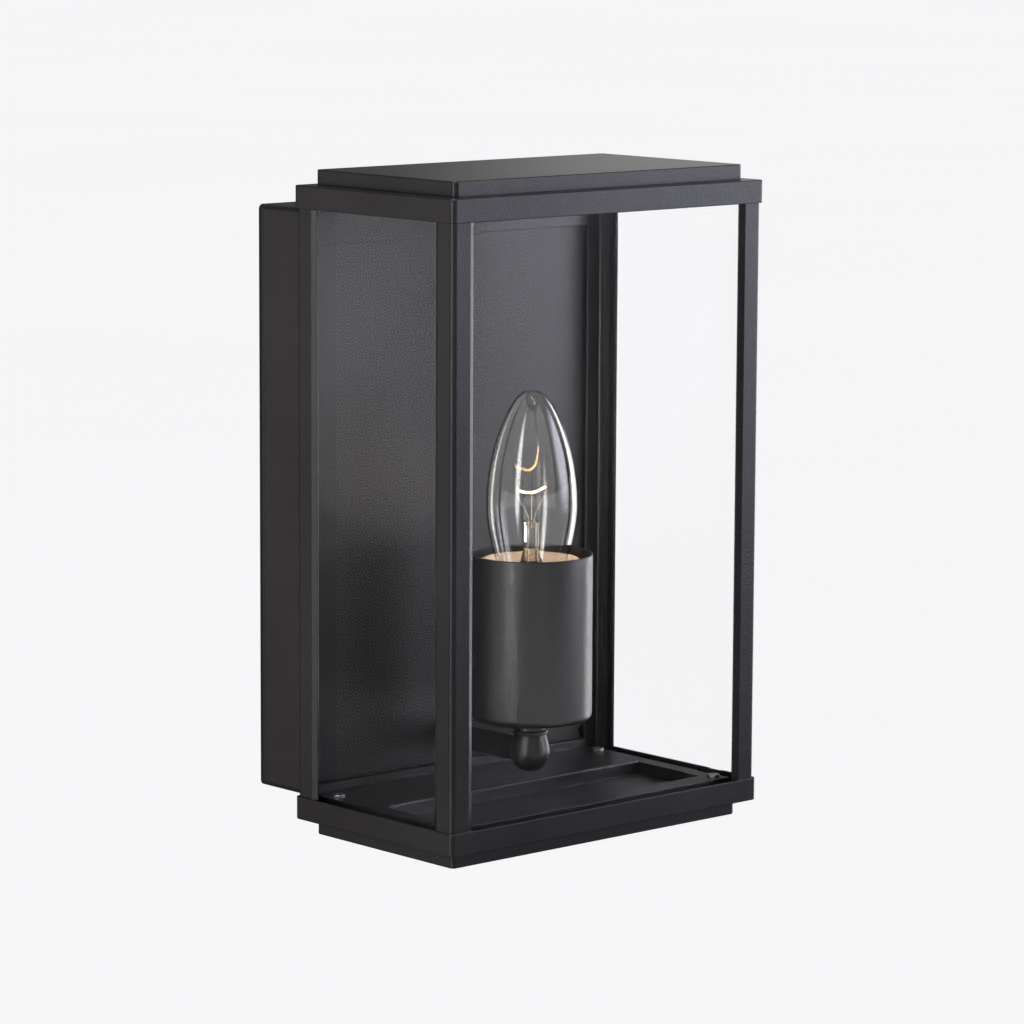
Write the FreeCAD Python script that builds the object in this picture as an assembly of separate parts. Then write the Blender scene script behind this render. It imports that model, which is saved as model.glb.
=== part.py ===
"""Box-shaped outdoor wall lantern with a candle lamp on a bracket arm.

The frame is in millimetres.  The wall is the plane Y = 0, the lantern stands out of it towards -Y,
+Z is up and the origin is the middle of the back of the wall box.
The wall box carries the back plate, the arm, the cup, the lampholder and the wiring.
The glazed body (roof, corner posts, panes and base) slides off the wall box towards -Y
on two flat hangers, and a recessed knurled screw under the base locks it.
"""
import FreeCAD, Part
import math
import os
from FreeCAD import Vector

# ---------------------------------------------------------------- overall sizes
HEIGHT = 260.0            # base to roof
WIDTH = 162.0             # across the rims
RIM_DEPTH = 93.0          # front to back of the glazed body
PROJECTION = 118.0        # wall to front rim

# ---------------------------------------------------------------- roof and base steps
TIER_HEIGHT = 6.0         # the small step above the roof rim and below the base rim
TIER_INSET = 6.0
RIM_HEIGHT = 9.0
SHEET = 0.8               # rims, tiers and deck
STUD_TAIL = 4.0           # roof stud below the roof sheet
ROOF_NUT_AF = 5.5
ROOF_NUT_H = 2.4
CORNER_R = 2.0            # outside radius of folded corners
EDGE_R = 0.5              # outside radius of folded long edges

# ---------------------------------------------------------------- posts, rail and panes
POST_LEG = 11.0
POST_BACK_LEG = 9.0
POST_SHEET = 1.0
POST_LIP = 2.4            # width of the lip that turns in towards the pane
POST_FOLD = 1.2           # how far the lip turns in
POST_LAP = 8.0            # how far a post runs up and down behind the rims
RAIL_HEIGHT = 15.0
GLASS = 4.0
BEVEL = 12.5              # width of the ground bevel round each pane
BEVEL_EDGE = 3.2          # glass left at the pane's edge
PANE_GAP = 0.3            # post lip to pane
PANE_CORNER = 0.3         # front pane to side pane
PANE_LAP = 6.0            # how far a pane reaches behind the lips and rims
RAIL_SIDE_GAP = 0.1
RAIL_TOP_GAP = 0.3
SEAL_SETBACK = 0.4        # silicone strip back from the fold of the lip
BLOCK_LENGTH = 20.0       # rubber blocks under the panes
FRONT_BLOCK_AT = 0.55     # share of the half width
SIDE_BLOCKS_AT = (0.3, 0.7)   # shares of the depth

# ---------------------------------------------------------------- base deck
DECK_GAP = 0.8            # pane to deck
FRONT_FLANGE = 18.0       # front rim to the edge of the well
PLATFORM = 40.0           # back edge of the well to the back of the body
WELL_DEPTH = 4.7
WELL_SIDE = 15.0          # side rim to the well
BEAD = 0.8                # raised bead along the back edge of the well
REAR_LIP = 3.3
REAR_LIP_GAP = 0.2        # lip to the rear posts
SHEET_HOLE = 0.1          # radial clearance of holes round bushes and standoffs
SCREW_INSET = 12.5        # corner screws, in from both rims
STANDOFF_R = 3.0
SCREW_R = 1.5
SCREW_HEAD_R = 2.6
SCREW_HEAD_H = 1.4
SCREW_LENGTH = 6.0
HEAD_ROUND = 0.4          # rounding of a pan head, share of its height
DRIVE_DEPTH = 0.45        # cross slot, share of the head's height
DRIVE_REACH = 0.55        # cross slot, share of the head's radius
DRIVE_HALF = 0.2

# ---------------------------------------------------------------- wall box
BOX_INSET = 3.0           # side rim to the side of the wall box
BOX_SHEET = 1.2
BOX_FLANGE = 12.0
GASKET = 1.5
SEAM = 0.3                # wall box to glazed body
SLOT_X = 100.0            # wall screw spacings
SLOT_Z = 120.0
SLOT_R = 2.6
SLOT_LENGTH = 10.0
ENTRY_Z = -18.0           # cable entry
ENTRY_R = 7.0             # hole in the box
CABLE_R = 4.0             # bore of the grommet
GROMMET_LIP = 2.0
GROMMET_SHY = 0.2         # grommet short of the wall
GROMMET_CLEAR = 0.3       # gasket to grommet
PLATE_CLEAR = 0.4
PLATE_SCREW_IN = 6.0      # back plate screws, in from the edges of the box
PLATE_SCREW_LENGTH = 8.0
PLATE_SLOT = 1.6          # half length of the driver slot
PLATE_SLOT_DEPTH = 0.6
PLATE_SLOT_HALF = 0.3

# ---------------------------------------------------------------- hangers and lock
HANGER_WIDTH = 40.0
HANGER = 2.0
HANGER_REACH = 37.0       # how far the hangers stand out of the wall box
HANGER_DROP = 2.2         # joggle of the lower hanger
HANGER_CLEAR = 0.3
HANGER_BACK = 4.0         # wall to the back ends of the hangers
HANGER_CORNER = 3.0
HANGER_EDGE = 1.0
JOGGLE_AT = 1.2           # rear rim to the joggle
JOGGLE = 2.0
JOGGLE_LAP = 0.2
RIVET_X = 12.0
RIVET_R = 2.0
RIVET_HEAD_R = 3.5
RIVET_HEAD_H = 0.9
RIVET_ROUND = 0.5
GUIDE_SHEET = 1.5
GUIDE_LENGTH = 20.0
LOCK_BACK = 20.0          # rear rim to the lock screw
LOCK_R = 2.5
LOCK_HEAD_R = 6.5
LOCK_HEAD_H = 3.8
LOCK_WASHER = 0.8
LOCK_WASHER_IN = 0.5
BUSH_R = 10.0
BUSH_NECK_R = 6.0
BUSH_SHORT = 1.2          # end of the screw above the top of the bush
LOCK_RECESS = 0.6         # underside of the base to the head
LOCK_HEAD_CLEAR = 1.0
LOCK_GROOVES = 24
LOCK_GROOVE_R = 0.35
LOCK_SLOT_HALF = 0.6
LOCK_SLOT_DEPTH = 1.2
RUNNING = 0.05            # radial clearance of screws that turn

# ---------------------------------------------------------------- arm, hub and cup
LAMP_BACK = 46.0          # front rim to the lamp axis
ARM = 10.0
ARM_WALL = 1.0
ARM_HEIGHT = 15.5         # deck to the arm's axis
ARM_IN_HUB = 3.0          # lamp axis to the arm's end
ARM_CORNER = 0.8
ARM_BUSH_R = 5.0
ARM_PLUG = 8.0            # bush inside the arm
ARM_BUSH_TAIL = 3.0       # thread beyond the nut
ARM_WASHER_R = 9.0
ARM_WASHER = 1.0
BORE_R = 3.5
HUB_BOTTOM = 7.0          # deck to the underside of the hub
HUB_R = 7.6
HUB_FOOT_R = 3.0
HUB_NECK_R = 5.8
HUB_BORE_R = 4.0
HUB_SIDE = ((0.86, 0.13), (1.0, 0.38), (0.88, 0.60))    # shares of radius and of height
HUB_BEAD_AT = 0.70        # share of the height
HUB_BEAD = 1.8
HUB_BEAD_OUT = 1.1
HUB_FLARE = 0.3
HUB_WELL = 15.0           # underside of the hub to the nipple
CUP_BOTTOM = 27.7         # deck to the underside of the cup
CUP_HEIGHT = 66.0
CUP_R = 24.2
CUP_WALL = 1.2
CUP_EDGE_R = 3.0
CUP_RIM_ROUND = 0.4       # share of the wall
NUT_AF = 14.0             # across flats of the M10 nuts
NUT_H = 3.0
NUT_NOTCH = 10.5          # half width of the notch in the box flange round the arm's nut

# ---------------------------------------------------------------- lampholder
HOLDER_R = 19.4
HOLDER_SINK = 2.2         # cup rim to the top of the porcelain
HOLDER_HEIGHT = 49.0
MOUTH_R = 16.8
MOUTH_DEPTH = 7.0
SHELL_R = 13.9
SHELL_WALL = 0.35
SHELL_HEIGHT = 26.0
BRACKET = 1.5
BRACKET_R = 17.0
RECESS_R = 10.5
RECESS_DEPTH = 7.5
CONTACT_R = 9.0
CONTACT_DEPTH = 4.0
HOLDER_SCREW_AT = 13.5
HOLDER_SCREW_LENGTH = 8.0
HOLDER_EDGE_R = 0.9
PORCELAIN_WEB = 3.0       # floor under the centre contact
SHELL_SEAT = 0.5          # shell's ring beyond the contact's bore
STRIP_HALF = 2.5          # centre contact strip
STRIP_REACH = 7.0
STRIP_SHEET = 0.4
STRIP_GAP = 0.3           # strip to the lamp's contact
LEAF_REACH = 3.0
TERMINAL_GAP = 0.5        # holder terminals, each side of the middle
TERMINAL = 5.0
TERMINAL_H = 3.0

# ---------------------------------------------------------------- lamp
BULB_R = 17.9
BULB_TOP = 46.0           # widest point to the tip
BULB_NECK = 30.0          # widest point to the neck
BULB_NECK_R = 11.2
BULB_TIP_ABOVE = 66.8     # porcelain top to the tip
BULB_WALL = 0.7
CAP_R = 13.1
CAP_THREAD = 1.0
CAP_PITCH = 3.62
CAP_TURNS = 4
CAP_WALL = 0.35
CAP_HEIGHT = 22.0
CAP_LAP = 1.5             # cap over the bulb's neck
CAP_THREAD_FROM = 2.0
CAP_CREST = (0.35, 0.55, 0.9)   # shares of the pitch
CAP_COLLAR = 4.0
CAP_COLLAR_OUT = 0.5
CAP_COLLAR_SLOPE = 1.0
LAMP_CONTACT_DROP = 5.0   # cap's edge to the lamp's contact
LAMP_CONTACT_R = 4.6
LAMP_CONTACT_H = 1.2
LAMP_CONTACT_ROUND = 0.9
INSULATOR_DROP = 0.2
INSULATOR_IN_CAP = 1.0
TIP_FULLNESS = 0.62       # exponents of the candle shape
TIP_BLUNTNESS = 0.14
TIP_ONSET = 6
NECK_CURVE = 1.7
NECK_POINTS = 5
TIP_POINTS = 8
FILAMENT_SPAN = 15.0
FILAMENT_R = 0.3
FILAMENT_UP = 7.0         # widest point of the bulb to the filament's ends
FILAMENT_SAG = 1.7
FILAMENT_GAP = 0.02
LEAD_R = 0.3
LEAD_SIDE = 1.6           # lamp axis to a lead in the stem
LEAD_RISE = 2.5
LEAD_BELOW = 2.0
LEAD_ABOVE = 1.5
LEAD_BEND = 1.2
SUPPORT_SHARE = 0.7       # radius of the middle support, share of a lead's
SUPPORT_SHORT = 0.4
STEM_R = 3.1
STEM_DROP = 5.5           # widest point of the bulb to the top of the stem
STEM_FOOT = 2.0           # neck to the foot of the stem
STEM_FOOT_GAP = 0.6
STEM_WAIST_R = 4.2
STEM_WAIST = 6.0
STEM_STRAIGHT = 12.0
STEM_PINCH = 1.5
STEM_PINCH_TOP = 0.8
STEM_PINCH_OUT = 0.4

# ---------------------------------------------------------------- wiring
WIRE_R = 1.0
WIRE_SIDE = 1.6           # lamp axis to each wire
WIRE_BEND = 6.0
WIRE_Y = -10.0            # depth of the wires in the wall box
BLOCK_LOW = 47.0          # deck to the underside of the terminal block
BLOCK_W = 26.0
BLOCK_D = 14.0
BLOCK_H = 17.0
BLOCK_EDGE_R = 1.0
POLE = 8.0
CLAMP_IN = 4.0            # end of the block to its clamping screws
CLAMP_R = 2.0
CLAMP_DEPTH = 4.0
CLAMP_SCREW_R = 1.7
CLAMP_SINK = 0.8
CLAMP_SLOT = 0.7
CLAMP_SLOT_HALF = 0.25
WIRE_CLEAR = 0.3
WIRE_IN = 2.0             # wire inside the block
WIRE_DROP = 10.0          # block to the bend of the lamp wires
EARTH_LOOP = 15.0         # block to the top of the earth wire
EARTH_X = 30.0
EARTH_R = 2.0
EARTH_UP = 8.0            # underside of the block to the stud
EARTH_STUD = 12.5
EARTH_NUT_AF = 7.0
EARTH_NUT_H = 3.0
LUG = 0.8
LUG_R = 4.2
LUG_HALF = 1.6
LUG_TAIL = (2.5, 8.5)     # above the stud
LUG_BARREL = (6.5, 11.5)

# ---------------------------------------------------------------- places worked out from the sizes
TOP = HEIGHT / 2
FLOOR = -HEIGHT / 2
FRONT = -PROJECTION
REAR = FRONT + RIM_DEPTH
DECK = FLOOR + TIER_HEIGHT + RIM_HEIGHT
EAVES = TOP - TIER_HEIGHT - RIM_HEIGHT
RIM_FLOOR = FLOOR + TIER_HEIGHT
SIDE = WIDTH / 2
POST_X = SIDE - SHEET
POST_FRONT = FRONT + SHEET
POST_REAR = REAR - SHEET
BOX_X = SIDE - BOX_INSET
BOX_FRONT = REAR + SEAM
BOX_BACK = -GASKET
SHEET_FRONT = BOX_BACK - BOX_SHEET
PLATE_BACK = BOX_FRONT + BOX_SHEET
LAMP_Y = FRONT + LAMP_BACK
ARM_Z = DECK + ARM_HEIGHT
NIPPLE_Z = DECK + HUB_BOTTOM + HUB_WELL
CUP_Z = DECK + CUP_BOTTOM
CUP_TOP = CUP_Z + CUP_HEIGHT
HOLDER_TOP = CUP_TOP - HOLDER_SINK
HOLDER_Z = HOLDER_TOP - HOLDER_HEIGHT
BRACKET_Z = HOLDER_Z - BRACKET
SEAT_Z = HOLDER_Z + RECESS_DEPTH + PORCELAIN_WEB
SHELL_Z = SEAT_Z + CONTACT_DEPTH
TIP_Z = HOLDER_TOP + BULB_TIP_ABOVE
WIDEST_Z = TIP_Z - BULB_TOP
NECK_Z = WIDEST_Z - BULB_NECK
CAP_TOP = NECK_Z + CAP_LAP
CAP_Z = CAP_TOP - CAP_HEIGHT
CONTACT_Z = CAP_Z - LAMP_CONTACT_DROP
STEM_TOP = WIDEST_Z - STEM_DROP
PANE_SET = POST_FOLD + POST_SHEET + PANE_GAP    # post face to pane face
PANE_FRONT = POST_FRONT + PANE_SET
PANE_SIDE = POST_X - PANE_SET
PANE_TOP = EAVES + PANE_LAP
PANE_FOOT = DECK - PANE_LAP
DECK_FRONT = PANE_FRONT + GLASS + DECK_GAP
DECK_SIDE = PANE_SIDE - GLASS - DECK_GAP
DECK_REAR = POST_REAR - POST_SHEET - SHEET_HOLE
WELL_FRONT = FRONT + FRONT_FLANGE
WELL_REAR = REAR - PLATFORM
WELL_X = SIDE - WELL_SIDE
SCREW_X = SIDE - SCREW_INSET
SCREW_FRONT = FRONT + SCREW_INSET
SCREW_REAR = REAR - SCREW_INSET
HANGER_FRONT = BOX_FRONT - HANGER_REACH
LOWER_TOP = DECK - HANGER_DROP
LOWER_FOOT = LOWER_TOP - HANGER
LOCK_Y = REAR - LOCK_BACK
LOCK_TIP = LOWER_FOOT - HANGER_CLEAR
BLOCK_Z = DECK + BLOCK_LOW
EARTH_Z = BLOCK_Z + EARTH_UP

X = Vector(1, 0, 0)
Y = Vector(0, 1, 0)
Z = Vector(0, 0, 1)


# ---------------------------------------------------------------- small helpers
def block(x0, x1, y0, y1, z0, z1):
    """Box between two corners."""
    return Part.makeBox(x1 - x0, y1 - y0, z1 - z0, Vector(x0, y0, z0))


def rod(radius, start, axis, length):
    """Cylinder from a point along an axis."""
    return Part.makeCylinder(radius, length, start, axis)


def ring(outer, inner, start, axis, length):
    """Tube from a point along an axis."""
    return rod(outer, start, axis, length).cut(rod(inner, start, axis, length))


def hexagon(across_flats, start, axis, length):
    """Hexagonal bar, standing on the XY plane before it is turned to its axis."""
    corner = across_flats / math.sqrt(3)
    points = [Vector(corner * math.cos(a), corner * math.sin(a), 0)
              for a in [math.radians(60 * k) for k in range(7)]]
    bar = Part.Face(Part.makePolygon(points)).extrude(Vector(0, 0, length))
    bar.Placement = FreeCAD.Placement(start, FreeCAD.Rotation(Z, axis))
    return bar


def edges_along(shape, axis, keep=lambda edge: True):
    """Straight edges of a shape that run along an axis."""
    found = []
    for edge in shape.Edges:
        if isinstance(edge.Curve, (Part.Line, Part.LineSegment)):
            if edge.Curve.Direction.cross(axis).Length < 1e-6 and keep(edge):
                found.append(edge)
    return found


def rounded_block(x0, x1, y0, y1, z0, z1, radius, axis):
    """Box with its four edges along one axis rounded."""
    shape = block(x0, x1, y0, y1, z0, z1)
    return shape.makeFillet(radius, edges_along(shape, axis))


def soften(shape, level, axis, radius):
    """Round the outline of the flat face that lies at one level on an axis."""
    outline = []
    for face in shape.Faces:
        flat = isinstance(face.Surface, Part.Plane)
        if flat and abs(face.CenterOfMass.dot(axis) - level) < 1e-4:
            if face.normalAt(0, 0).cross(axis).Length < 1e-6:
                outline += face.OuterWire.Edges
    return shape.makeFillet(radius, outline)


def tray(half_x, y0, y1, z_floor, z_open, sheet, corner, edge):
    """Folded tray with a closed face at z_floor and an open face at z_open."""
    low, high = sorted((z_floor, z_open))
    outer = rounded_block(-half_x, half_x, y0, y1, low, high, corner, Z)
    outer = soften(outer, z_floor, Z, edge)
    inner_low = low + sheet if z_floor < z_open else low
    inner_high = high if z_floor < z_open else high - sheet
    inner = rounded_block(-half_x + sheet, half_x - sheet, y0 + sheet, y1 - sheet,
                          inner_low, inner_high, corner - sheet, Z)
    return outer.cut(inner)


def revolve(points, centre):
    """Solid turned about the vertical axis through centre, from a list of (radius, z)."""
    path = [Vector(centre.x + r, centre.y, z) for r, z in points]
    face = Part.Face(Part.makePolygon(path + [path[0]]))
    return face.revolve(Vector(centre.x, centre.y, 0), Z, 360)


def pan_screw(radius, head_r, head_h, length, seat, axis):
    """Pan-head screw: seat is the middle of the bearing face, axis points along the shank."""
    head = rod(head_r, seat, -axis, head_h)
    rim = [e for e in head.Edges if abs((e.CenterOfMass - seat).dot(axis) + head_h) < 1e-6]
    head = head.makeFillet(head_h * HEAD_ROUND, rim)
    slot_depth = head_h * DRIVE_DEPTH
    reach = 2 * head_r * DRIVE_REACH
    across = X if abs(axis.x) < 0.5 else Z
    along = axis.cross(across)
    for direction, other in ((across, along), (along, across)):
        corner = seat - axis * head_h - direction * reach / 2 - other * DRIVE_HALF
        width = other * 2 * DRIVE_HALF
        wire = Part.makePolygon([corner, corner + direction * reach, corner + direction * reach + width,
                                 corner + width, corner])
        head = head.cut(Part.Face(wire).extrude(axis * slot_depth))
    return head.fuse(rod(radius, seat, axis, length)).removeSplitter()


def cable(points, radius, bend):
    """Round wire along straight runs joined by tangent arcs of one bend radius."""
    edges = []
    start = points[0]
    for before, corner, after in zip(points, points[1:], points[2:]):
        incoming = (corner - before).normalize()
        outgoing = (after - corner).normalize()
        turn = incoming.getAngle(outgoing)
        setback = bend * math.tan(turn / 2)
        begin = corner - incoming * setback
        end = corner + outgoing * setback
        bisector = (outgoing - incoming).normalize()
        middle = corner + bisector * (bend / math.cos(turn / 2) - bend)
        edges.append(Part.LineSegment(start, begin).toShape())
        edges.append(Part.Arc(begin, middle, end).toShape())
        start = end
    edges.append(Part.LineSegment(start, points[-1]).toShape())
    path = Part.Wire(edges)
    direction = (points[1] - points[0]).normalize()
    section = Part.Wire([Part.makeCircle(radius, points[0], direction)])
    return path.makePipeShell([section], True, False)


def corners():
    """The four corner screw places of the base."""
    return [(x, y) for x in (-SCREW_X, SCREW_X) for y in (SCREW_FRONT, SCREW_REAR)]


# ---------------------------------------------------------------- wall box and what is fixed to it
def wall_slots(start, depth):
    """Four slots for the wall screws, cut through a sheet that starts at a depth."""
    run = SLOT_LENGTH / 2 - SLOT_R
    cuts = []
    for x in (-SLOT_X / 2, SLOT_X / 2):
        for z in (-SLOT_Z / 2, SLOT_Z / 2):
            cuts.append(rod(SLOT_R, Vector(x - run, start, z), -Y, depth))
            cuts.append(rod(SLOT_R, Vector(x + run, start, z), -Y, depth))
            cuts.append(block(x - run, x + run, start - depth, start, z - SLOT_R, z + SLOT_R))
    return cuts


def wall_gasket():
    """Die-cut foam sheet between the box and the wall."""
    sheet = rounded_block(-BOX_X, BOX_X, BOX_BACK, 0, DECK, EAVES, CORNER_R, Y)
    for cut in wall_slots(0, GASKET):
        sheet = sheet.cut(cut)
    return sheet.cut(rod(ENTRY_R + GROMMET_LIP + GROMMET_CLEAR, Vector(0, 0, ENTRY_Z), -Y, GASKET))


def wall_box():
    """Folded steel rim with a joggled flange in front that seats the back plate."""
    wall = BOX_SHEET
    outer = rounded_block(-BOX_X, BOX_X, BOX_FRONT, SHEET_FRONT, DECK, EAVES, CORNER_R, Y)
    hollow = rounded_block(-BOX_X + wall, BOX_X - wall, PLATE_BACK + wall, SHEET_FRONT,
                           DECK + wall, EAVES - wall, CORNER_R - wall, Y)
    rebate = block(-BOX_X + wall, BOX_X - wall, BOX_FRONT, PLATE_BACK, DECK + wall, EAVES - wall)
    reach = wall + BOX_FLANGE
    mouth = block(-BOX_X + reach, BOX_X - reach, PLATE_BACK, PLATE_BACK + wall,
                  DECK + reach, EAVES - reach)
    notch = block(-NUT_NOTCH, NUT_NOTCH, PLATE_BACK, PLATE_BACK + wall, ARM_Z - NUT_NOTCH, DECK + reach)
    box = outer.cut(hollow).cut(rebate).cut(mouth).cut(notch)
    for x, z in plate_screw_places():
        box = box.cut(rod(SCREW_R + RUNNING, Vector(x, PLATE_BACK, z), Y, wall))
    return box


def box_back():
    """Back sheet spot-welded to the rim, with the wall slots and the cable entry."""
    sheet = rounded_block(-BOX_X, BOX_X, SHEET_FRONT, BOX_BACK, DECK, EAVES, CORNER_R, Y)
    for cut in wall_slots(BOX_BACK, BOX_SHEET):
        sheet = sheet.cut(cut)
    return sheet.cut(rod(ENTRY_R, Vector(0, BOX_BACK, ENTRY_Z), -Y, BOX_SHEET))


def cable_grommet():
    """Rubber grommet snapped into the cable entry."""
    back = BOX_BACK + GASKET - GROMMET_SHY
    front = SHEET_FRONT - GROMMET_LIP
    centre = Vector(0, back, ENTRY_Z)
    body = rod(ENTRY_R, centre, -Y, back - front)
    body = body.fuse(rod(ENTRY_R + GROMMET_LIP, centre, -Y, back - BOX_BACK))
    body = body.fuse(rod(ENTRY_R + GROMMET_LIP, Vector(0, SHEET_FRONT, ENTRY_Z), -Y, GROMMET_LIP))
    return body.cut(rod(CABLE_R, centre, -Y, back - front)).removeSplitter()


def plate_screw_places():
    """The four screws that hold the back plate, hidden behind the rear posts."""
    x = BOX_X - PLATE_SCREW_IN
    z = EAVES - PLATE_SCREW_IN
    return [(sx * x, sz * z) for sx in (-1, 1) for sz in (-1, 1)]


def back_plate():
    """Flat plate that closes the wall box and carries the arm."""
    inset = BOX_SHEET + PLATE_CLEAR
    plate = block(-BOX_X + inset, BOX_X - inset, BOX_FRONT, PLATE_BACK, DECK + inset, EAVES - inset)
    plate = plate.cut(rod(ARM_BUSH_R + RUNNING, Vector(0, BOX_FRONT, ARM_Z), Y, BOX_SHEET))
    for x, z in plate_screw_places():
        plate = plate.cut(rod(SCREW_R + RUNNING, Vector(x, BOX_FRONT, z), Y, BOX_SHEET))
        plate = plate.cut(Part.makeCone(SCREW_HEAD_R + RUNNING, SCREW_R + RUNNING, BOX_SHEET,
                                        Vector(x, BOX_FRONT, z), Y))
    return plate


def back_plate_screws():
    """Countersunk screws, flush with the back plate."""
    screws = []
    for x, z in plate_screw_places():
        head = Part.makeCone(SCREW_HEAD_R, SCREW_R, BOX_SHEET, Vector(x, BOX_FRONT, z), Y)
        shank = rod(SCREW_R, Vector(x, BOX_FRONT, z), Y, PLATE_SCREW_LENGTH)
        slot = block(x - PLATE_SLOT, x + PLATE_SLOT, BOX_FRONT, BOX_FRONT + PLATE_SLOT_DEPTH,
                     z - PLATE_SLOT_HALF, z + PLATE_SLOT_HALF)
        screws.append(head.fuse(shank).removeSplitter().cut(slot))
    return Part.makeCompound(screws)


def upper_hanger():
    """Flat steel tongue on top of the wall box, which the roof hangs on."""
    half = HANGER_WIDTH / 2
    tongue = rounded_block(-half, half, HANGER_FRONT, -HANGER_BACK, EAVES, EAVES + HANGER,
                           HANGER_CORNER, Z)
    return tongue.cut(rivet_holes(EAVES - BOX_SHEET, HANGER + BOX_SHEET))


def lower_hanger():
    """Joggled steel tongue under the wall box, which the lock screw bears on."""
    half = HANGER_WIDTH / 2
    near = REAR + JOGGLE_AT
    far = near + JOGGLE
    fixed = rounded_block(-half, half, far - JOGGLE_LAP, -HANGER_BACK, DECK - HANGER, DECK, HANGER_EDGE, Z)
    step = block(-half, half, near, far, LOWER_FOOT, DECK)
    tongue = rounded_block(-half, half, HANGER_FRONT, far, LOWER_FOOT, LOWER_TOP, HANGER_EDGE, Z)
    joined = fixed.fuse(step).fuse(tongue).removeSplitter()
    return joined.cut(rivet_holes(DECK - HANGER, HANGER))


def rivet_holes(z, depth):
    """Two rivet holes through a hanger."""
    holes = [rod(RIVET_R, Vector(x, REAR / 2, z), Z, depth) for x in (-RIVET_X, RIVET_X)]
    return holes[0].fuse(holes[1])


def hanger_rivets():
    """Four blind rivets, two through each hanger into the wall box."""
    rivets = []
    for x in (-RIVET_X, RIVET_X):
        for level, up in ((EAVES + HANGER, 1), (DECK - HANGER, -1)):
            head = rod(RIVET_HEAD_R, Vector(x, REAR / 2, level), Z * up, RIVET_HEAD_H)
            rim = [e for e in head.Edges if abs(e.CenterOfMass.z - level - RIVET_HEAD_H * up) < 1e-6]
            head = head.makeFillet(RIVET_ROUND, rim)
            shank = rod(RIVET_R, Vector(x, REAR / 2, level), Z * -up, HANGER)
            rivets.append(head.fuse(shank).removeSplitter())
    return Part.makeCompound(rivets)


# ---------------------------------------------------------------- arm, hub and cup
def arm_tube():
    """Square tube from the hub to the back plate, with the wires inside."""
    start = LAMP_Y + ARM_IN_HUB
    half = ARM / 2
    bar = rounded_block(-half, half, start, BOX_FRONT, ARM_Z - half, ARM_Z + half, ARM_CORNER, Y)
    inner = half - ARM_WALL
    bar = bar.cut(block(-inner, inner, start, BOX_FRONT, ARM_Z - inner, ARM_Z + inner))
    return bar.cut(rod(HUB_BORE_R, Vector(0, LAMP_Y, ARM_Z), Z, ARM))


def arm_bush():
    """Threaded hollow bush in the back end of the arm, through the back plate."""
    half = ARM / 2 - ARM_WALL
    plug = block(-half, half, BOX_FRONT - ARM_PLUG, BOX_FRONT, ARM_Z - half, ARM_Z + half)
    tail = BOX_SHEET + NUT_H + ARM_BUSH_TAIL
    thread = rod(ARM_BUSH_R, Vector(0, BOX_FRONT, ARM_Z), Y, tail)
    bore = rod(BORE_R, Vector(0, BOX_FRONT - ARM_PLUG, ARM_Z), Y, ARM_PLUG + tail)
    return plug.fuse(thread).removeSplitter().cut(bore)


def arm_nut():
    """Nut and washer that clamp the arm to the back plate from inside the box."""
    washer = ring(ARM_WASHER_R, ARM_BUSH_R + RUNNING, Vector(0, PLATE_BACK, ARM_Z), Y, ARM_WASHER)
    seat = Vector(0, PLATE_BACK + ARM_WASHER, ARM_Z)
    nut = hexagon(NUT_AF, seat, Y, NUT_H).cut(rod(ARM_BUSH_R + RUNNING, seat, Y, NUT_H))
    return Part.makeCompound([washer, nut])


def lamp_hub():
    """Turned pear-shaped boss that joins the arm to the cup."""
    low = DECK + HUB_BOTTOM
    rise = CUP_Z - low
    foot = Vector(HUB_FOOT_R, LAMP_Y, low)
    bead_low = low + rise * HUB_BEAD_AT
    neck = Vector(HUB_NECK_R + HUB_FLARE, LAMP_Y, bead_low)
    curve = Part.BSplineCurve()
    curve.interpolate([foot] + [Vector(HUB_R * r, LAMP_Y, low + rise * h) for r, h in HUB_SIDE] + [neck])
    bead_high = bead_low + HUB_BEAD
    bead_mid = Vector(HUB_NECK_R + HUB_BEAD_OUT, LAMP_Y, (bead_low + bead_high) / 2)
    edges = [Part.LineSegment(Vector(0, LAMP_Y, low), foot).toShape(),
             curve.toShape(),
             Part.Arc(neck, bead_mid, Vector(HUB_NECK_R, LAMP_Y, bead_high)).toShape(),
             Part.LineSegment(Vector(HUB_NECK_R, LAMP_Y, bead_high),
                              Vector(HUB_NECK_R, LAMP_Y, CUP_Z)).toShape(),
             Part.LineSegment(Vector(HUB_NECK_R, LAMP_Y, CUP_Z), Vector(0, LAMP_Y, CUP_Z)).toShape(),
             Part.LineSegment(Vector(0, LAMP_Y, CUP_Z), Vector(0, LAMP_Y, low)).toShape()]
    hub = Part.Face(Part.Wire(edges)).revolve(Vector(0, LAMP_Y, 0), Z, 360)
    half = ARM / 2
    socket = block(-half, half, LAMP_Y + ARM_IN_HUB, LAMP_Y + 2 * HUB_R, ARM_Z - half, ARM_Z + half)
    inner = half - ARM_WALL
    passage = rod(inner, Vector(0, LAMP_Y, ARM_Z), Y, HUB_R)
    well = rod(HUB_BORE_R, Vector(0, LAMP_Y, ARM_Z), Z, NIPPLE_Z - ARM_Z)
    dome = Part.makeSphere(HUB_BORE_R, Vector(0, LAMP_Y, ARM_Z))
    thread = rod(ARM_BUSH_R, Vector(0, LAMP_Y, NIPPLE_Z), Z, CUP_Z - NIPPLE_Z)
    return hub.cut(socket).cut(passage).cut(well).cut(dome).cut(thread)


def hub_nipple():
    """Hollow threaded nipple that ties hub, cup and lampholder bracket together."""
    length = HOLDER_Z + NUT_H - NIPPLE_Z
    return ring(ARM_BUSH_R, BORE_R, Vector(0, LAMP_Y, NIPPLE_Z), Z, length)


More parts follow.
